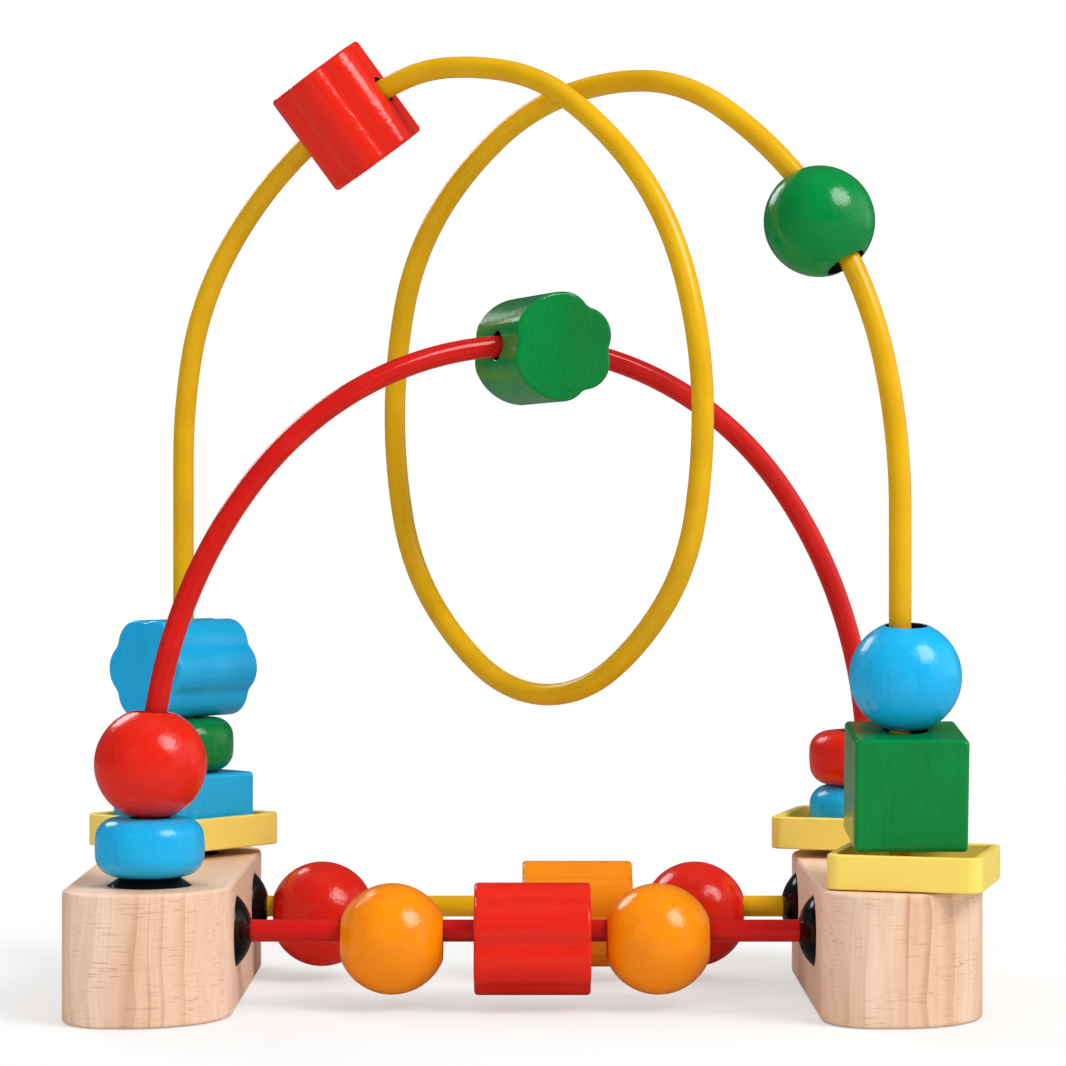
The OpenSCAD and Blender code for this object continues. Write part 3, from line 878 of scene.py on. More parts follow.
@dataclass
class Plugs:
    """Black plugs in the blocks: low cones on top and domes at the bars.

    Attributes:
        bench: Modelling steps.
        way_r: Radius of the way for the sleeved wire.
        shank_r: Radius of the shank in the block.
        shank: Length of the shank.
        flange: Thickness of the flange below the face.
        cone_top_r: Radius of the flat top of a cone.
        edge_r: Rounding of the moulded edges.
    """

    bench: Bench
    way_r: float = 3.15 * MM
    shank_r: float = 5 * MM
    shank: float = 12 * MM
    flange: float = 2 * MM
    cone_top_r: float = 8 * MM
    edge_r: float = 0.5 * MM

    def foot(self, radius: float) -> list[Triple]:
        """Gives the section of shank and flange, up to the face.

        Args:
            radius: Radius of the flange.

        Returns:
            Corners and their roundings.
        """
        return [
            (self.way_r, -self.shank, 0),
            (self.shank_r, -self.shank, self.edge_r),
            (self.shank_r, -self.flange, 0),
            (radius, -self.flange, self.edge_r),
        ]

    def build(self) -> None:
        """Makes the cones and the domes."""
        for row in ("front", "rear"):
            for side in ("left", "right"):
                self.cone(f"grommet_{row}_{side}")
                self.dome(f"bar_cap_{row}_{side}", RIGHT if side == "left" else -RIGHT)

    def cone(self, part: str) -> None:
        """Makes one plug with a low cone.

        Args:
            part: CAD node that it stands for.
        """
        low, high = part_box(part)
        radius = (high.x - low.x) / 2
        rise = high.z - low.z - self.shank
        section = [
            *self.foot(radius),
            (radius, 0, self.edge_r),
            (self.cone_top_r, rise, 2 * self.edge_r),
            (self.way_r, rise, self.edge_r),
        ]
        plug = self.bench.lathe(ease(section))
        self.bench.smooth(plug)
        middle = middle_of(part)
        place = Matrix.Translation((middle.x, middle.y, high.z - rise))
        self.bench.seat(plug, place, part, Slot.BLACK, "base")

    def dome(self, part: str, outward: Vector) -> None:
        """Makes one plug with a dome.

        Args:
            part: CAD node that it stands for.
            outward: Direction out of the block.
        """
        low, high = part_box(part)
        radius = (high.z - low.z) / 2
        full = high.x - low.x - self.shank
        # The node's box ends at the rim of the way, a little below the top of the whole dome
        middle_z = (full**2 + self.way_r**2 - radius**2) / (2 * full)
        dome_r = math.hypot(radius, middle_z)
        first = math.degrees(math.asin(-middle_z / dome_r))
        last = math.degrees(math.acos(self.way_r / dome_r))
        curve = arc((0, middle_z), dome_r, first, last, 12)
        section = [*self.foot(radius), *((r, z, 0) for r, z in curve)]
        plug = self.bench.lathe(ease(section))
        self.bench.smooth(plug)
        face = low.x + self.shank if outward.x > 0 else high.x - self.shank
        middle = middle_of(part)
        turn = UP.rotation_difference(outward).to_matrix().to_4x4()
        place = Matrix.Translation((face, middle.y, middle.z)) @ turn
        self.bench.seat(plug, place, part, Slot.BLACK, "base")


@dataclass
class Arc:
    """One bend of a wire, or a straight length where its ends lie along its direction.

    Attributes:
        start: First point.
        way: Direction there.
        end: Last point.
    """

    start: Vector
    way: Vector
    end: Vector

    def points(self, step: float) -> list[Vector]:
        """Gives points along the bend, its end left out.

        Args:
            step: Greatest distance between two points.

        Returns:
            The points in order.
        """
        chord = self.end - self.start
        half = chord.angle(self.way)
        if half < 10 * ALIKE:
            count = max(1, math.ceil(chord.length / step))
            return [self.start.lerp(self.end, i / count) for i in range(count)]
        radius = chord.length / (2 * math.sin(half))
        inward = (chord - chord.dot(self.way) * self.way).normalized()
        count = max(2, math.ceil(2 * half * radius / step))
        turns = [2 * half * i / count for i in range(count)]
        spokes = [math.sin(t) * self.way + (1 - math.cos(t)) * inward for t in turns]
        return [self.start + radius * spoke for spoke in spokes]


def arc_end(start: Vector, way: Vector, end: Vector) -> Vector:
    """Gives the direction at the far end of the arc that leaves start along way."""
    chord = (end - start).normalized()
    return 2 * chord.dot(way) * chord - way


def circle_way(a: Vector, b: Vector, c: Vector) -> Vector:
    """Gives the direction at b of the circle through three points."""
    return ((b - a) / (b - a).length_squared + (c - b) / (c - b).length_squared).normalized()


def join(start: Vector, way: Vector, end: Vector, last_way: Vector) -> list[Arc]:
    """Joins two points with given directions by two arcs, or one where that is enough.

    Args:
        start: First point.
        way: Direction there.
        end: Last point.
        last_way: Direction there.

    Returns:
        The arcs in order.
    """
    if (arc_end(start, way, end) - last_way).length < ALIKE:
        return [Arc(start, way, end)]
    chord = end - start
    both = way + last_way
    k = 2 * (1 - way.dot(last_way))
    across = chord.dot(both)
    if k < ALIKE**2:
        reach = chord.length_squared / (2 * across)
    else:
        reach = (math.sqrt(across**2 + k * chord.length_squared) - across) / k
    middle = (start + end + reach * (way - last_way)) / 2
    return [Arc(start, way, middle), Arc(middle, arc_end(start, way, middle), end)]


@dataclass
class Wires:
    """Sleeves of the loop wire, the arch wire and the two bars.

    Attributes:
        bench: Modelling steps.
        radius: Outer radius of a sleeve.
        leg: Distances of the upright wires from the middle, along X and Y.
        block_h: Height of the blocks, from which the wires' heights are counted.
        depth: Depth of a sleeve's end below the face of the block.
        loop_legs: Straight upright lengths of the loop wire, left and right.
        loop_points: Points of the loop wire in millimetres, with heights above the blocks.
        bead_points: Numbers of the points where a bead sits on one true arc.
        arch_leg: Straight upright length of the arch wire.
        arch_rise: Height of the arch wire's middle line.
        arch_sweep: Angle turned by each side bend of the arch, in degrees.
        step: Greatest distance between two rings of a sleeve.
        roundness: Blender's resolution of a sleeve's ring.
        sharp: Angle in degrees above which an edge stays sharp.
    """

    bench: Bench
    radius: float = 3 * MM
    leg: Point = (100 * MM, 42 * MM)
    block_h: float = 35 * MM
    depth: float = 12 * MM
    loop_legs: Point = (115 * MM, 100 * MM)
    loop_points: list[Triple] = field(
        default_factory=lambda: [
            (-88, 38, 173),
            (-51.5, 24.5, 214),
            (-35.5, 17, 222.5),
            (-7, 2, 223.5),
            (26, -23, 198.5),
            (47.5, -40, 125),
            (38, -31, 75),
            (5, 0, 48.5),
            (-27, 30, 74),
            (-38, 40, 125),
            (-22, 26, 190),
            (10, 8, 216.5),
            (54, -20, 210),
            (81, -33, 179),
            (96, -40, 140),
        ]
    )
    bead_points: tuple[int, int] = (2, 14)
    arch_leg: float = 25 * MM
    arch_rise: float = 146 * MM
    arch_sweep: float = 38
    step: float = 1.6 * MM
    roundness: int = 18
    sharp: float = 50

    def build(self) -> None:
        """Makes the four sleeves and dresses the four cores."""
        self.sleeve("loop_wire_sleeve", self.loop_route(), Slot.YELLOW_SLEEVE)
        self.sleeve("arch_wire_sleeve", self.arch_route(), Slot.RED_SLEEVE)
        self.sleeve("front_bar_sleeve", self.bar_route("front_bar_sleeve"), Slot.RED_SLEEVE)
        self.sleeve("rear_bar_sleeve", self.bar_route("rear_bar_sleeve"), Slot.YELLOW_SLEEVE)
        for wire in ("loop_wire_core", "arch_wire_core", "front_bar_core", "rear_bar_core"):
            core = bpy.data.objects[wire]
            core.data.materials.clear()
            core.data.materials.append(self.bench.materials[Slot.STEEL])
            log.info("%s: dressed as %s", wire, Slot.STEEL.value)

    def loop_route(self) -> list[Arc]:
        """Gives the loop wire's bends from the rear left hole to the front right hole."""
        x, y = self.leg
        left, right = self.loop_legs
        lift = Vector((0, 0, self.block_h))
        start = Vector((-x, y, left)) + lift
        finish = Vector((x, -y, right)) + lift
        knots = [start, *(Vector(p) * MM + lift for p in self.loop_points), finish]
        ways = [circle_way(*knots[i - 1 : i + 2]) for i in range(1, len(knots) - 1)]
        ways = [UP, *ways, -UP]
        for i in self.bead_points:
            ways[i - 1] = arc_end(knots[i], ways[i], knots[i - 1])
            ways[i + 1] = arc_end(knots[i], ways[i], knots[i + 1])
        foot = Vector((0, 0, self.depth))
        route = [Arc(start - Vector((0, 0, left)) - foot, UP, start)]
        for i in range(len(knots) - 1):
            route += join(knots[i], ways[i], knots[i + 1], ways[i + 1])
        return [*route, Arc(finish, -UP, finish - Vector((0, 0, right)) - foot)]

    def arch_route(self) -> list[Arc]:
        """Gives the arch wire's bends from the front left hole to the rear right hole."""
        along = Vector((*self.leg, 0)).normalized()
        half = math.hypot(*self.leg)
        sweep = math.radians(self.arch_sweep)
        sine, cosine = math.sin(sweep), math.cos(sweep)
        rise = self.arch_rise - self.arch_leg
        scale = (1 - cosine) * (1 - sine) - cosine * sine
        side_r = (half * (1 - sine) - rise * cosine) / scale
        shoulder = self.block_h + self.arch_leg
        foot = Vector((0, 0, self.arch_leg + self.depth))
        inner = half - side_r * (1 - cosine)
        upper = shoulder + side_r * sine
        ends = [side * half * along + shoulder * UP for side in (-1, 1)]
        bends = [side * inner * along + upper * UP for side in (-1, 1)]
        return [
            Arc(ends[0] - foot, UP, ends[0]),
            Arc(ends[0], UP, bends[0]),
            Arc(bends[0], sine * along + cosine * UP, bends[1]),
            Arc(bends[1], sine * along - cosine * UP, ends[1]),
            Arc(ends[1], -UP, ends[1] - foot),
        ]

    def bar_route(self, part: str) -> list[Arc]:
        """Gives a bar's one straight length.

        Args:
            part: CAD node of the bar's sleeve.

        Returns:
            A list of one straight length.
        """
        low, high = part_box(part)
        start, end = middle_of(part), middle_of(part)
        start.x, end.x = low.x, high.x
        return [Arc(start, RIGHT, end)]

    def sleeve(self, part: str, route: list[Arc], slot: Slot) -> None:
        """Sweeps a round section along a route.

        Args:
            part: CAD node that the sleeve stands for.
            route: Bends and straight lengths in order.
            slot: Finish that it takes.
        """
        points = [p for bend in route for p in bend.points(self.step)] + [route[-1].end]
        curve = bpy.data.curves.new(part, "CURVE")
        curve.dimensions = "3D"
        curve.bevel_depth = self.radius
        curve.bevel_resolution = self.roundness
        curve.use_fill_caps = True
        spline = curve.splines.new("POLY")
        spline.points.add(len(points) - 1)
        for knot, point in zip(spline.points, points):
            knot.co = (*point, 1)
        swept = bpy.data.objects.new(part + "_swept", curve)
        bpy.context.scene.collection.objects.link(swept)
        self.bench.pick(swept)
        bpy.ops.object.convert(target="MESH")
        tube = bpy.context.active_object
        self.bench.weld(tube)
        bpy.ops.object.shade_smooth_by_angle(angle=math.radians(self.sharp))
        self.bench.seat(tube, Matrix.Identity(4), part, slot, "base")


class Shape(Enum):
    """Kinds of bead."""

    BALL = "ball"
    DISC = "disc"
    CUBE = "cube"
    SLAB = "slab"
    ROLLER = "roller"
    FLOWER = "flower"


@dataclass(frozen=True)
class Bead:
    """One bead of the maze.

    Attributes:
        part: CAD node and body of the bead.
        shape: What it is.
        slot: Its lacquer.
        turn: Turn about its bore in degrees, for shapes that aren't round.
        lean: Forward lean in degrees.
    """

    part: str
    shape: Shape
    slot: Slot
    turn: float = 0
    lean: float = 0


@dataclass
class Beads:
    """All the lacquered beads.

    Attributes:
        bench: Modelling steps.
        joints: Joints of the frame by the body that they move.
        bore_r: Radius of a bore.
        cross_bore_r: Radius of the bore across a flower.
        mouth_r: Easing of a bore's mouth.
        ball_r: Radius of a ball.
        disc_size: Radius, half height and edge rounding of a disc.
        disc_bulge: How far a disc's side swells.
        block_edge_r: Rounding of the edges of the cube and the slab.
        lobe_r: Radius of one lobe of a flower.
        groove_r: Radius of the groove between two lobes.
        flower_r: Radius of a flower across its lobes.
        flower_half: Half the length of a flower.
        flower_edge_r: Rounding of a flower's ends.
        cross_half: Half the length of the bore across a flower.
        filled: Grooves of the arch's flower that are filled round.
        lean: Forward lean of the front right stack in degrees.
        beads: All the beads.
    """

    bench: Bench
    joints: dict[str, dict]
    bore_r: float = 5.5 * MM
    cross_bore_r: float = 4 * MM
    mouth_r: float = 0.4 * MM
    ball_r: float = 15 * MM
    disc_size: Triple = (14.65 * MM, 7.75 * MM, 5.5 * MM)
    disc_bulge: float = 0.4 * MM
    block_edge_r: float = 1.3 * MM
    lobe_r: float = 7.7 * MM
    groove_r: float = 4 * MM
    flower_r: float = 15.2 * MM
    flower_half: float = 15.75 * MM
    flower_edge_r: float = 1.0 * MM
    cross_half: float = 13.8 * MM
    filled: tuple[int, ...] = (0, 4)
    lean: float = 6.5
    beads: list[Bead] = field(init=False)

    def __post_init__(self) -> None:
        """Lists the beads, from the front left round to the bars."""
        self.beads = [
            Bead("front_left_blue_disc", Shape.DISC, Slot.BLUE),
            Bead("front_left_red_ball", Shape.BALL, Slot.RED),
            Bead("rear_left_blue_slab", Shape.SLAB, Slot.BLUE, turn=46),
            Bead("rear_left_green_disc", Shape.DISC, Slot.GREEN),
            Bead("rear_left_blue_flower", Shape.FLOWER, Slot.BLUE, turn=-130),
            Bead("front_right_green_cube", Shape.CUBE, Slot.GREEN, lean=self.lean),
            Bead("front_right_blue_ball", Shape.BALL, Slot.BLUE, lean=self.lean),
            Bead("rear_right_blue_disc", Shape.DISC, Slot.BLUE),
            Bead("rear_right_red_disc", Shape.DISC, Slot.RED),
            Bead("arch_green_flower", Shape.FLOWER, Slot.GREEN),
            Bead("left_hump_red_flower", Shape.FLOWER, Slot.RED, turn=31),
            Bead("right_hump_green_ball", Shape.BALL, Slot.GREEN),
            Bead("front_bar_left_orange_ball", Shape.BALL, Slot.ORANGE),
            Bead("front_bar_red_roller", Shape.ROLLER, Slot.RED),
            Bead("front_bar_right_orange_ball", Shape.BALL, Slot.ORANGE),
            Bead("rear_bar_left_red_ball", Shape.BALL, Slot.RED),
            Bead("rear_bar_orange_roller", Shape.ROLLER, Slot.ORANGE),
            Bead("rear_bar_right_red_ball", Shape.BALL, Slot.RED),
        ]

    def build(self) -> None:
        """Models each shape once and sets a copy of it for each bead."""
        patterns = {
            Shape.BALL: self.ball(),
            Shape.DISC: self.disc(),
            Shape.ROLLER: self.roller(),
        }
        for number, bead in enumerate(self.beads):
            if bead.shape in patterns:
                piece = self.bench.copy(patterns[bead.shape])
            elif bead.shape is Shape.FLOWER:
                piece = self.crosswise_flower(self.filled if bead.slot is Slot.GREEN else ())
            else:
                piece = self.square_block(bead)
            crosswise = bead.shape is Shape.FLOWER
            bore_r = self.cross_bore_r if crosswise else self.bore_r
            self.bench.remember_grain(piece, GRAIN_STEP * number, crosswise)
            # Shade is painted into the bore's faces, near black
            self.bench.paint_bore_shade(piece, bore_r + self.mouth_r / 2)
            self.bench.seat(piece, self.place(bead), bead.part, bead.slot, bead.part)
        for pattern in patterns.values():
            self.bench.scrap(pattern)

    def place(self, bead: Bead) -> Matrix:
        """Works out where a bead's middle is and which way its bore runs.

        Args:
            bead: The bead.

        Returns:
            The matrix from the bead's own frame to the world.
        """
        joint = self.joints[bead.part]
        middle = middle_of(bead.part)
        axis = Vector(joint["axis"]).normalized()
        turn = Matrix.Rotation(math.radians(bead.turn), 4, "Z")
        if joint["type"] == "hinge" and not joint.get("continuous"):
            spoke = Vector(joint["pos_m"]) - middle
            bore = axis.cross(spoke).normalized()
            if bore.x < 0:
                bore.negate()
            if bead.part == "arch_green_flower":
                return frame_matrix(middle, axis, bore)
            inward = (spoke - spoke.dot(bore) * bore).normalized()
            return frame_matrix(middle, inward, bore) @ turn
        if "_bar_" in bead.part:
            return Matrix.Translation(middle) @ Matrix.Rotation(math.pi / 2, 4, "Y")
        lean = Matrix.Rotation(math.radians(bead.lean), 4, "X")
        return Matrix.Translation(middle) @ lean @ turn

    def ball(self) -> Object:
        """Turns a ball with eased bore mouths."""
        mouth = self.bore_r + self.mouth_r
        first = math.degrees(math.acos(mouth / self.ball_r))
        curve = arc((0, 0), self.ball_r, -first, first, 40)
        return self.turned(curve)

    def disc(self) -> Object:
        """Turns a disc with well rounded edges, a slightly swelling side and flat ends."""
        radius, half, edge = self.disc_size
        mouth = self.bore_r + self.mouth_r
        shoulder = radius - self.disc_bulge
        section = [
            (mouth, -half, 0),
            (shoulder, -half, edge),
            (radius, 0, 4 * edge),
            (shoulder, half, edge),
            (mouth, half, 0),
        ]
        return self.turned(ease(section, 12))

    def turned(self, curve: list[Point]) -> Object:
        """Turns a bead from the curve of its outside.

        Args:
            curve: Radius and height from the lower mouth to the upper one.

        Returns:
            The bead, upright at the middle.
        """
        mouth_r, mouth_z = curve[-1]
        ease_z = mouth_z - self.mouth_r
        centre = (mouth_r, ease_z)
        upper = arc(centre, self.mouth_r, 90, 180, 6)[1:]
        lower = [(r, -z) for r, z in reversed(upper)]
        piece = self.bench.lathe([*lower, *curve, *upper])
        self.bench.smooth(piece)
        return piece

    def square_block(self, bead: Bead) -> Object:
        """Saws the cube or the slab, rounds its edges and drills it.

        Args:
            bead: The bead, whose CAD node gives its size.

        Returns:
            The block, upright at the middle.
        """
        low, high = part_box(bead.part)
        if bead.shape is Shape.CUBE:
            width = high.x - low.x
            height = width
        else:
            angle = math.radians(bead.turn)
            width = (high.x - low.x) / (abs(math.sin(angle)) + abs(math.cos(angle)))
            height = high.z - low.z
        bpy.ops.object.select_all(action="DESELECT")
        bpy.ops.mesh.primitive_cube_add(size=1)
        block = bpy.context.active_object
        block.scale = (width, width, height)
        bpy.ops.object.transform_apply(location=True, rotation=True, scale=True)
        self.bench.round_edges(block, self.block_edge_r)
        self.bench.cut(block, self.bench.bore(self.bore_r, height / 2, self.mouth_r))
        self.bench.smooth(block)
        return block

    def flower_outline(self, filled: tuple[int, ...]) -> list[Point]:
        """Draws six lobes and the grooves between them.

        Args:
            filled: Numbers of the grooves that are filled round.

        Returns:
            The outline with its first lobe along X.
        """
        lobes, chords, gap = 6, 12, 4
        step = 360 / lobes
        lobe_at = self.flower_r - self.lobe_r
        half = math.radians(step / 2)
        reach = self.lobe_r + self.groove_r
        groove_at = lobe_at * math.cos(half) + math.sqrt(reach**2 - (lobe_at * math.sin(half)) ** 2)
        groove = Vector((groove_at * math.cos(half), groove_at * math.sin(half)))
        edge = math.degrees((groove - Vector((lobe_at, 0))).angle(Vector((1, 0))))
        points: list[Point] = []
        for i in range(lobes):
            turn = i * step
            radians = math.radians(turn)
            lobe = (lobe_at * math.cos(radians), lobe_at * math.sin(radians))
            first = 0 if (i - 1) % lobes in filled else -edge
            last = 0 if i in filled else edge
            points += arc(lobe, self.lobe_r, turn + first, turn + last, chords)
            if i in filled:
                points += arc((0, 0), self.flower_r, turn + gap, turn + step - gap, chords)
                continue
            middle = radians + half
            centre = (groove_at * math.cos(middle), groove_at * math.sin(middle))
            start = turn + edge + 180
            points += arc(centre, self.groove_r, start, start - 2 * edge + step, chords // 2)[1:-1]
        return points

    def flower_prism(self, filled: tuple[int, ...] = ()) -> Object:
        """Makes a fluted prism with rounded ends.

        Args:
            filled: Numbers of the grooves that are filled round.

        Returns:
            The prism with its flutes along Z.
        """
        prism = self.bench.prism(self.flower_outline(filled), -self.flower_half, self.flower_half)
        self.bench.round_edges(prism, self.flower_edge_r)
        return prism

    def roller(self) -> Object:
        """Makes a flower drilled along its flutes."""
        piece = self.flower_prism()
        self.bench.cut(piece, self.bench.bore(self.bore_r, self.flower_half, self.mouth_r))
        self.bench.smooth(piece)
        return piece

    def crosswise_flower(self, filled: tuple[int, ...]) -> Object:
        """Makes a flower drilled across its flutes, which lie along X.

        Args:
            filled: Numbers of the grooves that are filled round.

        Returns:
            The flower with its bore upright.
        """
        piece = self.flower_prism(filled)
        self.bench.pick(piece)
        # A groove comes to lie at each mouth of the bore
        piece.matrix_world = Matrix.Rotation(math.pi / 2, 4, "Y") @ Matrix.Rotation(math.pi / 6, 4, "Z")
        bpy.ops.object.transform_apply(location=True, rotation=True, scale=True)
        self.bench.cut(piece, self.bench.bore(self.cross_bore_r, self.cross_half, self.mouth_r))
        self.bench.smooth(piece)
        return piece


@dataclass
class Trays:
    """Shallow square trays of pale yellow plastic.

    Attributes:
        bench: Modelling steps.
        width: Outer width.
        corner_r: Outer corner radius.
        wall: Thickness of the rim.
        floor: Thickness of the floor.
        hole_r: Radius of the hole in the floor.
        edge_r: Rounding of the moulded edges.
        turns: Turn of each tray in degrees, by CAD node.
    """

    bench: Bench
    width: float = 41 * MM
    corner_r: float = 4 * MM
    wall: float = 2.5 * MM
    floor: float = 1.5 * MM
    hole_r: float = 7.5 * MM
    edge_r: float = 0.55 * MM
    turns: dict[str, float] = field(
        default_factory=lambda: {"rear_left_tray": 50, "front_right_tray": -16, "rear_right_tray": -17}
    )

    def build(self) -> None:
        """Makes one tray and sets a copy of it at each place."""
        low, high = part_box("front_right_tray")
        pattern = self.dish(high.z - low.z)
        for part, turn in self.turns.items():
            foot = middle_of(part)
            foot.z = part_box(part)[0].z
            place = Matrix.Translation(foot) @ Matrix.Rotation(math.radians(turn), 4, "Z")
            self.bench.seat(self.bench.copy(pattern), place, part, Slot.TRAY, part)
        self.bench.scrap(pattern)

    def dish(self, height: float) -> Object:
        """Moulds a dish: a block, its top inset and pushed down, and a hole in its floor.

        Args:
            height: Height of the rim.

        Returns:
            The dish with its underside at zero.
        """
        outline = round_rectangle(self.width, self.width, (self.corner_r,) * 4)
        dish = self.bench.prism(outline, 0, height)
        bpy.ops.object.mode_set(mode="EDIT")
        bpy.ops.mesh.select_all(action="DESELECT")
        bpy.ops.mesh.select_mode(type="FACE")
        bpy.ops.object.mode_set(mode="OBJECT")
        for face in dish.data.polygons:
            face.select = face.normal.z > 0.9
        bpy.ops.object.mode_set(mode="EDIT")
        bpy.ops.mesh.inset(thickness=self.wall)
        bpy.ops.mesh.extrude_region_move(TRANSFORM_OT_translate={"value": (0, 0, self.floor - height)})
        bpy.ops.mesh.select_mode(type="VERT")
        bpy.ops.mesh.select_all(action="SELECT")
        bpy.ops.mesh.normals_make_consistent(inside=False)
        bpy.ops.object.mode_set(mode="OBJECT")
        self.bench.round_edges(dish, self.edge_r, 3)
        hole = self.hole_r
        drill = [(0, -height), (hole, -height), (hole, height / 2), (0, height / 2)]
        self.bench.cut(dish, self.bench.lathe(drill, closed=False))
        self.bench.smooth(dish)
        return dish


@dataclass(frozen=True)
class Lamp:
    """A round soft lamp that faces the object.

    Attributes:
        name: Name of the lamp.
        place: Where it hangs.
        size: Width of its disc.
        watts: Its power.
        mirrored: Whether glossy surfaces show it.
    """

    name: str
    place: Triple
    size: float
    watts: float
    mirrored: bool = True

    def hang(self, target: Vector) -> None:
        """Hangs the lamp.

        Args:
            target: Place that it faces.
        """
        light = bpy.data.lights.new(self.name, "AREA")
        light.shape = "DISK"
        light.size = self.size
        light.energy = self.watts
        lamp = bpy.data.objects.new(self.name, light)
        lamp.location = self.place
        lamp.visible_glossy = self.mirrored
        lamp.rotation_euler = (target - Vector(self.place)).to_track_quat("-Z", "Y").to_euler()
        bpy.context.scene.collection.objects.link(lamp)


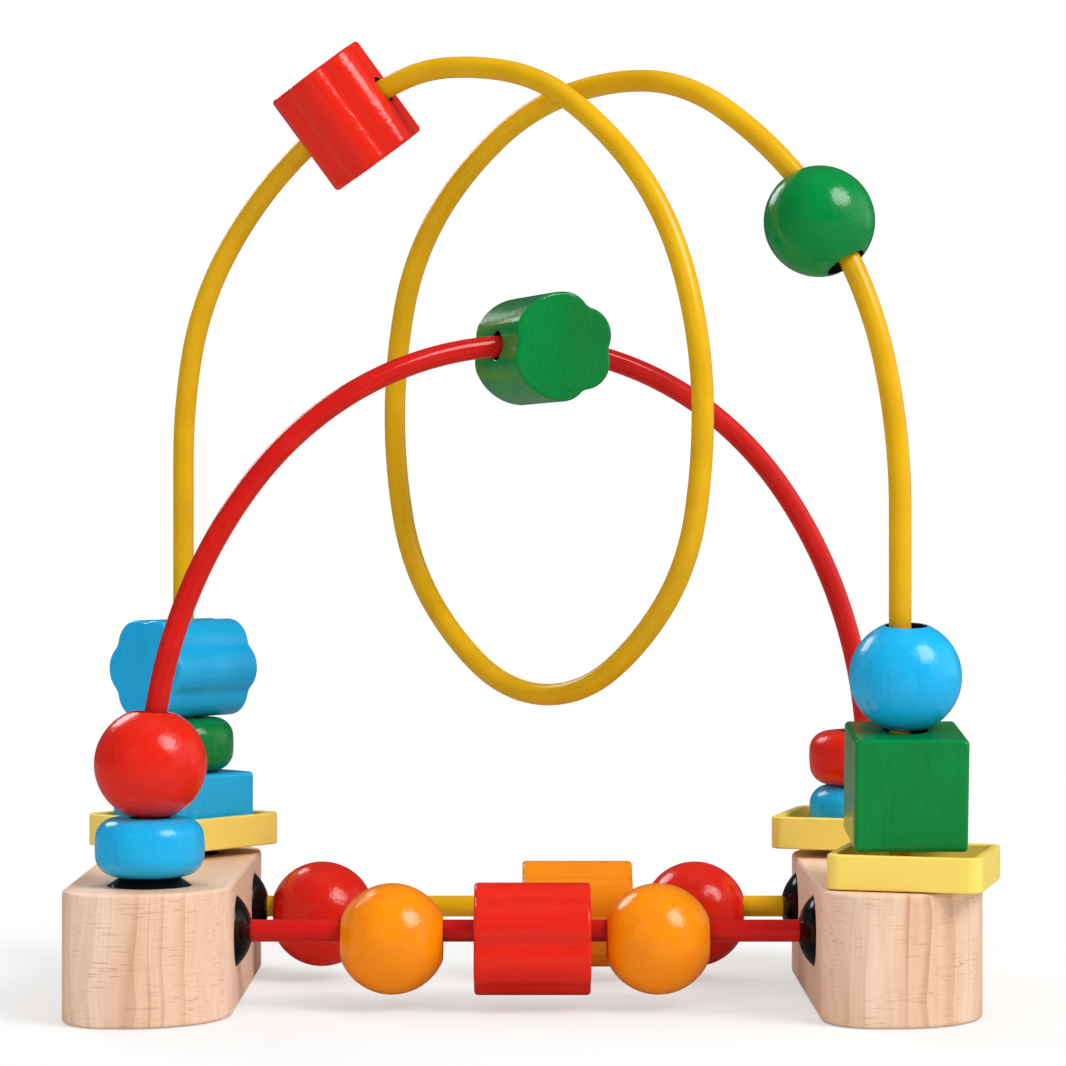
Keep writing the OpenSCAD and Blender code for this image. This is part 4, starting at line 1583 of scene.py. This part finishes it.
@dataclass
class Studio:
    """Camera, lamps, floor and the white room round the object.

    Attributes:
        eye: Where the camera stands.
        lens_mm: Focal length on a sensor of the width below.
        sensor_mm: Width of the sensor.
        shift: Shift of the picture, as shares of its width.
        clip: Nearest and farthest distance that the camera sees.
        lamps: All the lamps.
        target: Height of the place that the lamps face.
        ambient: Strength of the room's light on the object.
        dim_wall: Strength of most of the room in reflections.
        pale_wall: Strength of its right side in reflections.
        wall_from: Share of X in a direction where the right side begins and where it is full.
        floor_r: Radius of the floor.
        paper: Colour of the floor.
        mirrored_paper: Colour of the floor in reflections.
        floor_glow: Least share of white in the floor as seen.
        white_from: Distances from the middle where the floor begins to turn white and is white.
    """

    eye: Triple = (0, -0.895, 0.1309)
    lens_mm: float = 108.07
    sensor_mm: float = 36
    shift: Point = (0.0075, -0.0075)
    clip: Point = (0.01, 20)
    lamps: tuple[Lamp, ...] = (
        Lamp("key_softbox", (1.15, -0.86, 1.45), 1.15, 32),
        Lamp("left_window", (-0.70, 0.86, 0.84), 0.55, 4.2),
        Lamp("front_fill", (-1.1, -1.8, 0.8), 1.35, 9, mirrored=False),
        Lamp("ceiling_fill", (0, 0.2, 2.5), 1.6, 13, mirrored=False),
    )
    target: float = 0.1
    ambient: float = 0.39
    dim_wall: float = 0.07
    pale_wall: float = 1.0
    wall_from: Point = (0.65, 0.97)
    floor_r: float = 4
    paper: str = "#E6E6E4"
    mirrored_paper: str = "#7A7A78"
    floor_glow: float = 0.5
    white_from: Point = (0.11, 0.26)

    def build(self) -> None:
        """Sets up everything round the object."""
        self.camera()
        for lamp in self.lamps:
            lamp.hang(self.target * UP)
        self.floor()
        self.world()
        bpy.context.scene.view_settings.view_transform = "Standard"

    def camera(self) -> None:
        """Places the camera where the photograph was taken from, looking level."""
        lens = bpy.data.cameras.new("camera")
        lens.sensor_width = self.sensor_mm
        lens.lens = self.lens_mm
        lens.shift_x, lens.shift_y = self.shift
        lens.clip_start, lens.clip_end = self.clip
        camera = bpy.data.objects.new("camera", lens)
        camera.location = self.eye
        camera.rotation_euler = (math.pi / 2, 0, 0)
        bpy.context.scene.collection.objects.link(camera)
        bpy.context.scene.camera = camera

    def seen(self, tree: Tree) -> Node:
        """Tells rays that show a background from rays that light things.

        Args:
            tree: Node tree that gets the nodes.

        Returns:
            One for a ray that shows the background straight or refracted, and zero for any other.
        """
        paths = node(tree, "LightPath").outputs
        rays = {0: paths["Is Camera Ray"], 1: paths["Is Transmission Ray"]}
        return node(tree, "Math", rays, operation="MAXIMUM")

    def mirrored(self, tree: Tree) -> Socket:
        """Gives one for a ray that was mirrored, and zero for any other."""
        return node(tree, "LightPath").outputs["Is Glossy Ray"]

    def floor(self) -> None:
        """Lays a pale floor that keeps the shadow near the object and turns white farther off."""
        # A little below the blocks, so that their undersides don't flicker through
        below = (0, 0, -0.1 * MM)
        bpy.ops.object.select_all(action="DESELECT")
        bpy.ops.mesh.primitive_circle_add(
            vertices=96, radius=self.floor_r, fill_type="NGON", location=below
        )
        ground = bpy.context.active_object
        ground.name = "floor"
        material = bpy.data.materials.new("Matt white paper")
        material.use_nodes = True
        tree = material.node_tree
        tree.nodes.clear()
        add = partial(node, tree)
        place = add("TexCoord").outputs["Object"]
        far = add("VectorMath", {0: place}, operation="LENGTH").outputs["Value"]
        near, white = self.white_from
        fading = {"Value": far, "From Min": near, "From Max": white, "To Min": self.floor_glow}
        fade = add("MapRange", fading, interpolation_type="SMOOTHSTEP")
        share = add("Math", {0: self.seen(tree), 1: fade}, operation="MULTIPLY")
        paper, dim = to_linear(self.paper), to_linear(self.mirrored_paper)
        papers = {"Factor": self.mirrored(tree), "A": paper, "B": dim}
        sheet = add("BsdfDiffuse", {"Color": add("Mix", papers, data_type="RGBA")})
        glow = add("Emission", {"Color": (1, 1, 1, 1), "Strength": 1})
        mix = add("MixShader", {0: share, 1: sheet, 2: glow})
        add("OutputMaterial", {"Surface": mix})
        ground.data.materials.append(material)

    def world(self) -> None:
        """Surrounds the object with white that is seen at full strength and lights it softly.

        The glossy lacquer mirrors a dim room with one pale wall at the right.
        """
        world = bpy.data.worlds.new("white_room")
        world.use_nodes = True
        tree = world.node_tree
        tree.nodes.clear()
        add = partial(node, tree)
        way = add("TexCoord").outputs["Generated"]
        across = add("SeparateXYZ", {0: way}).outputs["X"]
        begin, full = self.wall_from
        levels = {"To Min": self.dim_wall, "To Max": self.pale_wall}
        side = {"Value": across, "From Min": begin, "From Max": full, **levels}
        wall = add("MapRange", side, interpolation_type="SMOOTHSTEP")
        plain = add("MapRange", {"Value": self.seen(tree), "To Min": self.ambient})
        strength = add("Mix", {"Factor": self.mirrored(tree), "A": plain, "B": wall})
        light = add("Background", {"Color": (1, 1, 1, 1), "Strength": strength})
        add("OutputWorld", {"Surface": light})
        bpy.context.scene.world = world


def main() -> None:
    """Builds every sub-assembly round the frame."""
    logging.basicConfig(level=logging.INFO, format="%(name)s: %(message)s")
    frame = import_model()
    bench = Bench()
    Studio().build()
    EndBlocks(bench).build()
    Plugs(bench).build()
    Wires(bench).build()
    Beads(bench, {joint["child"]: joint for joint in frame["joints"]}).build()
    Trays(bench).build()


if __name__ == "__main__":
    main()
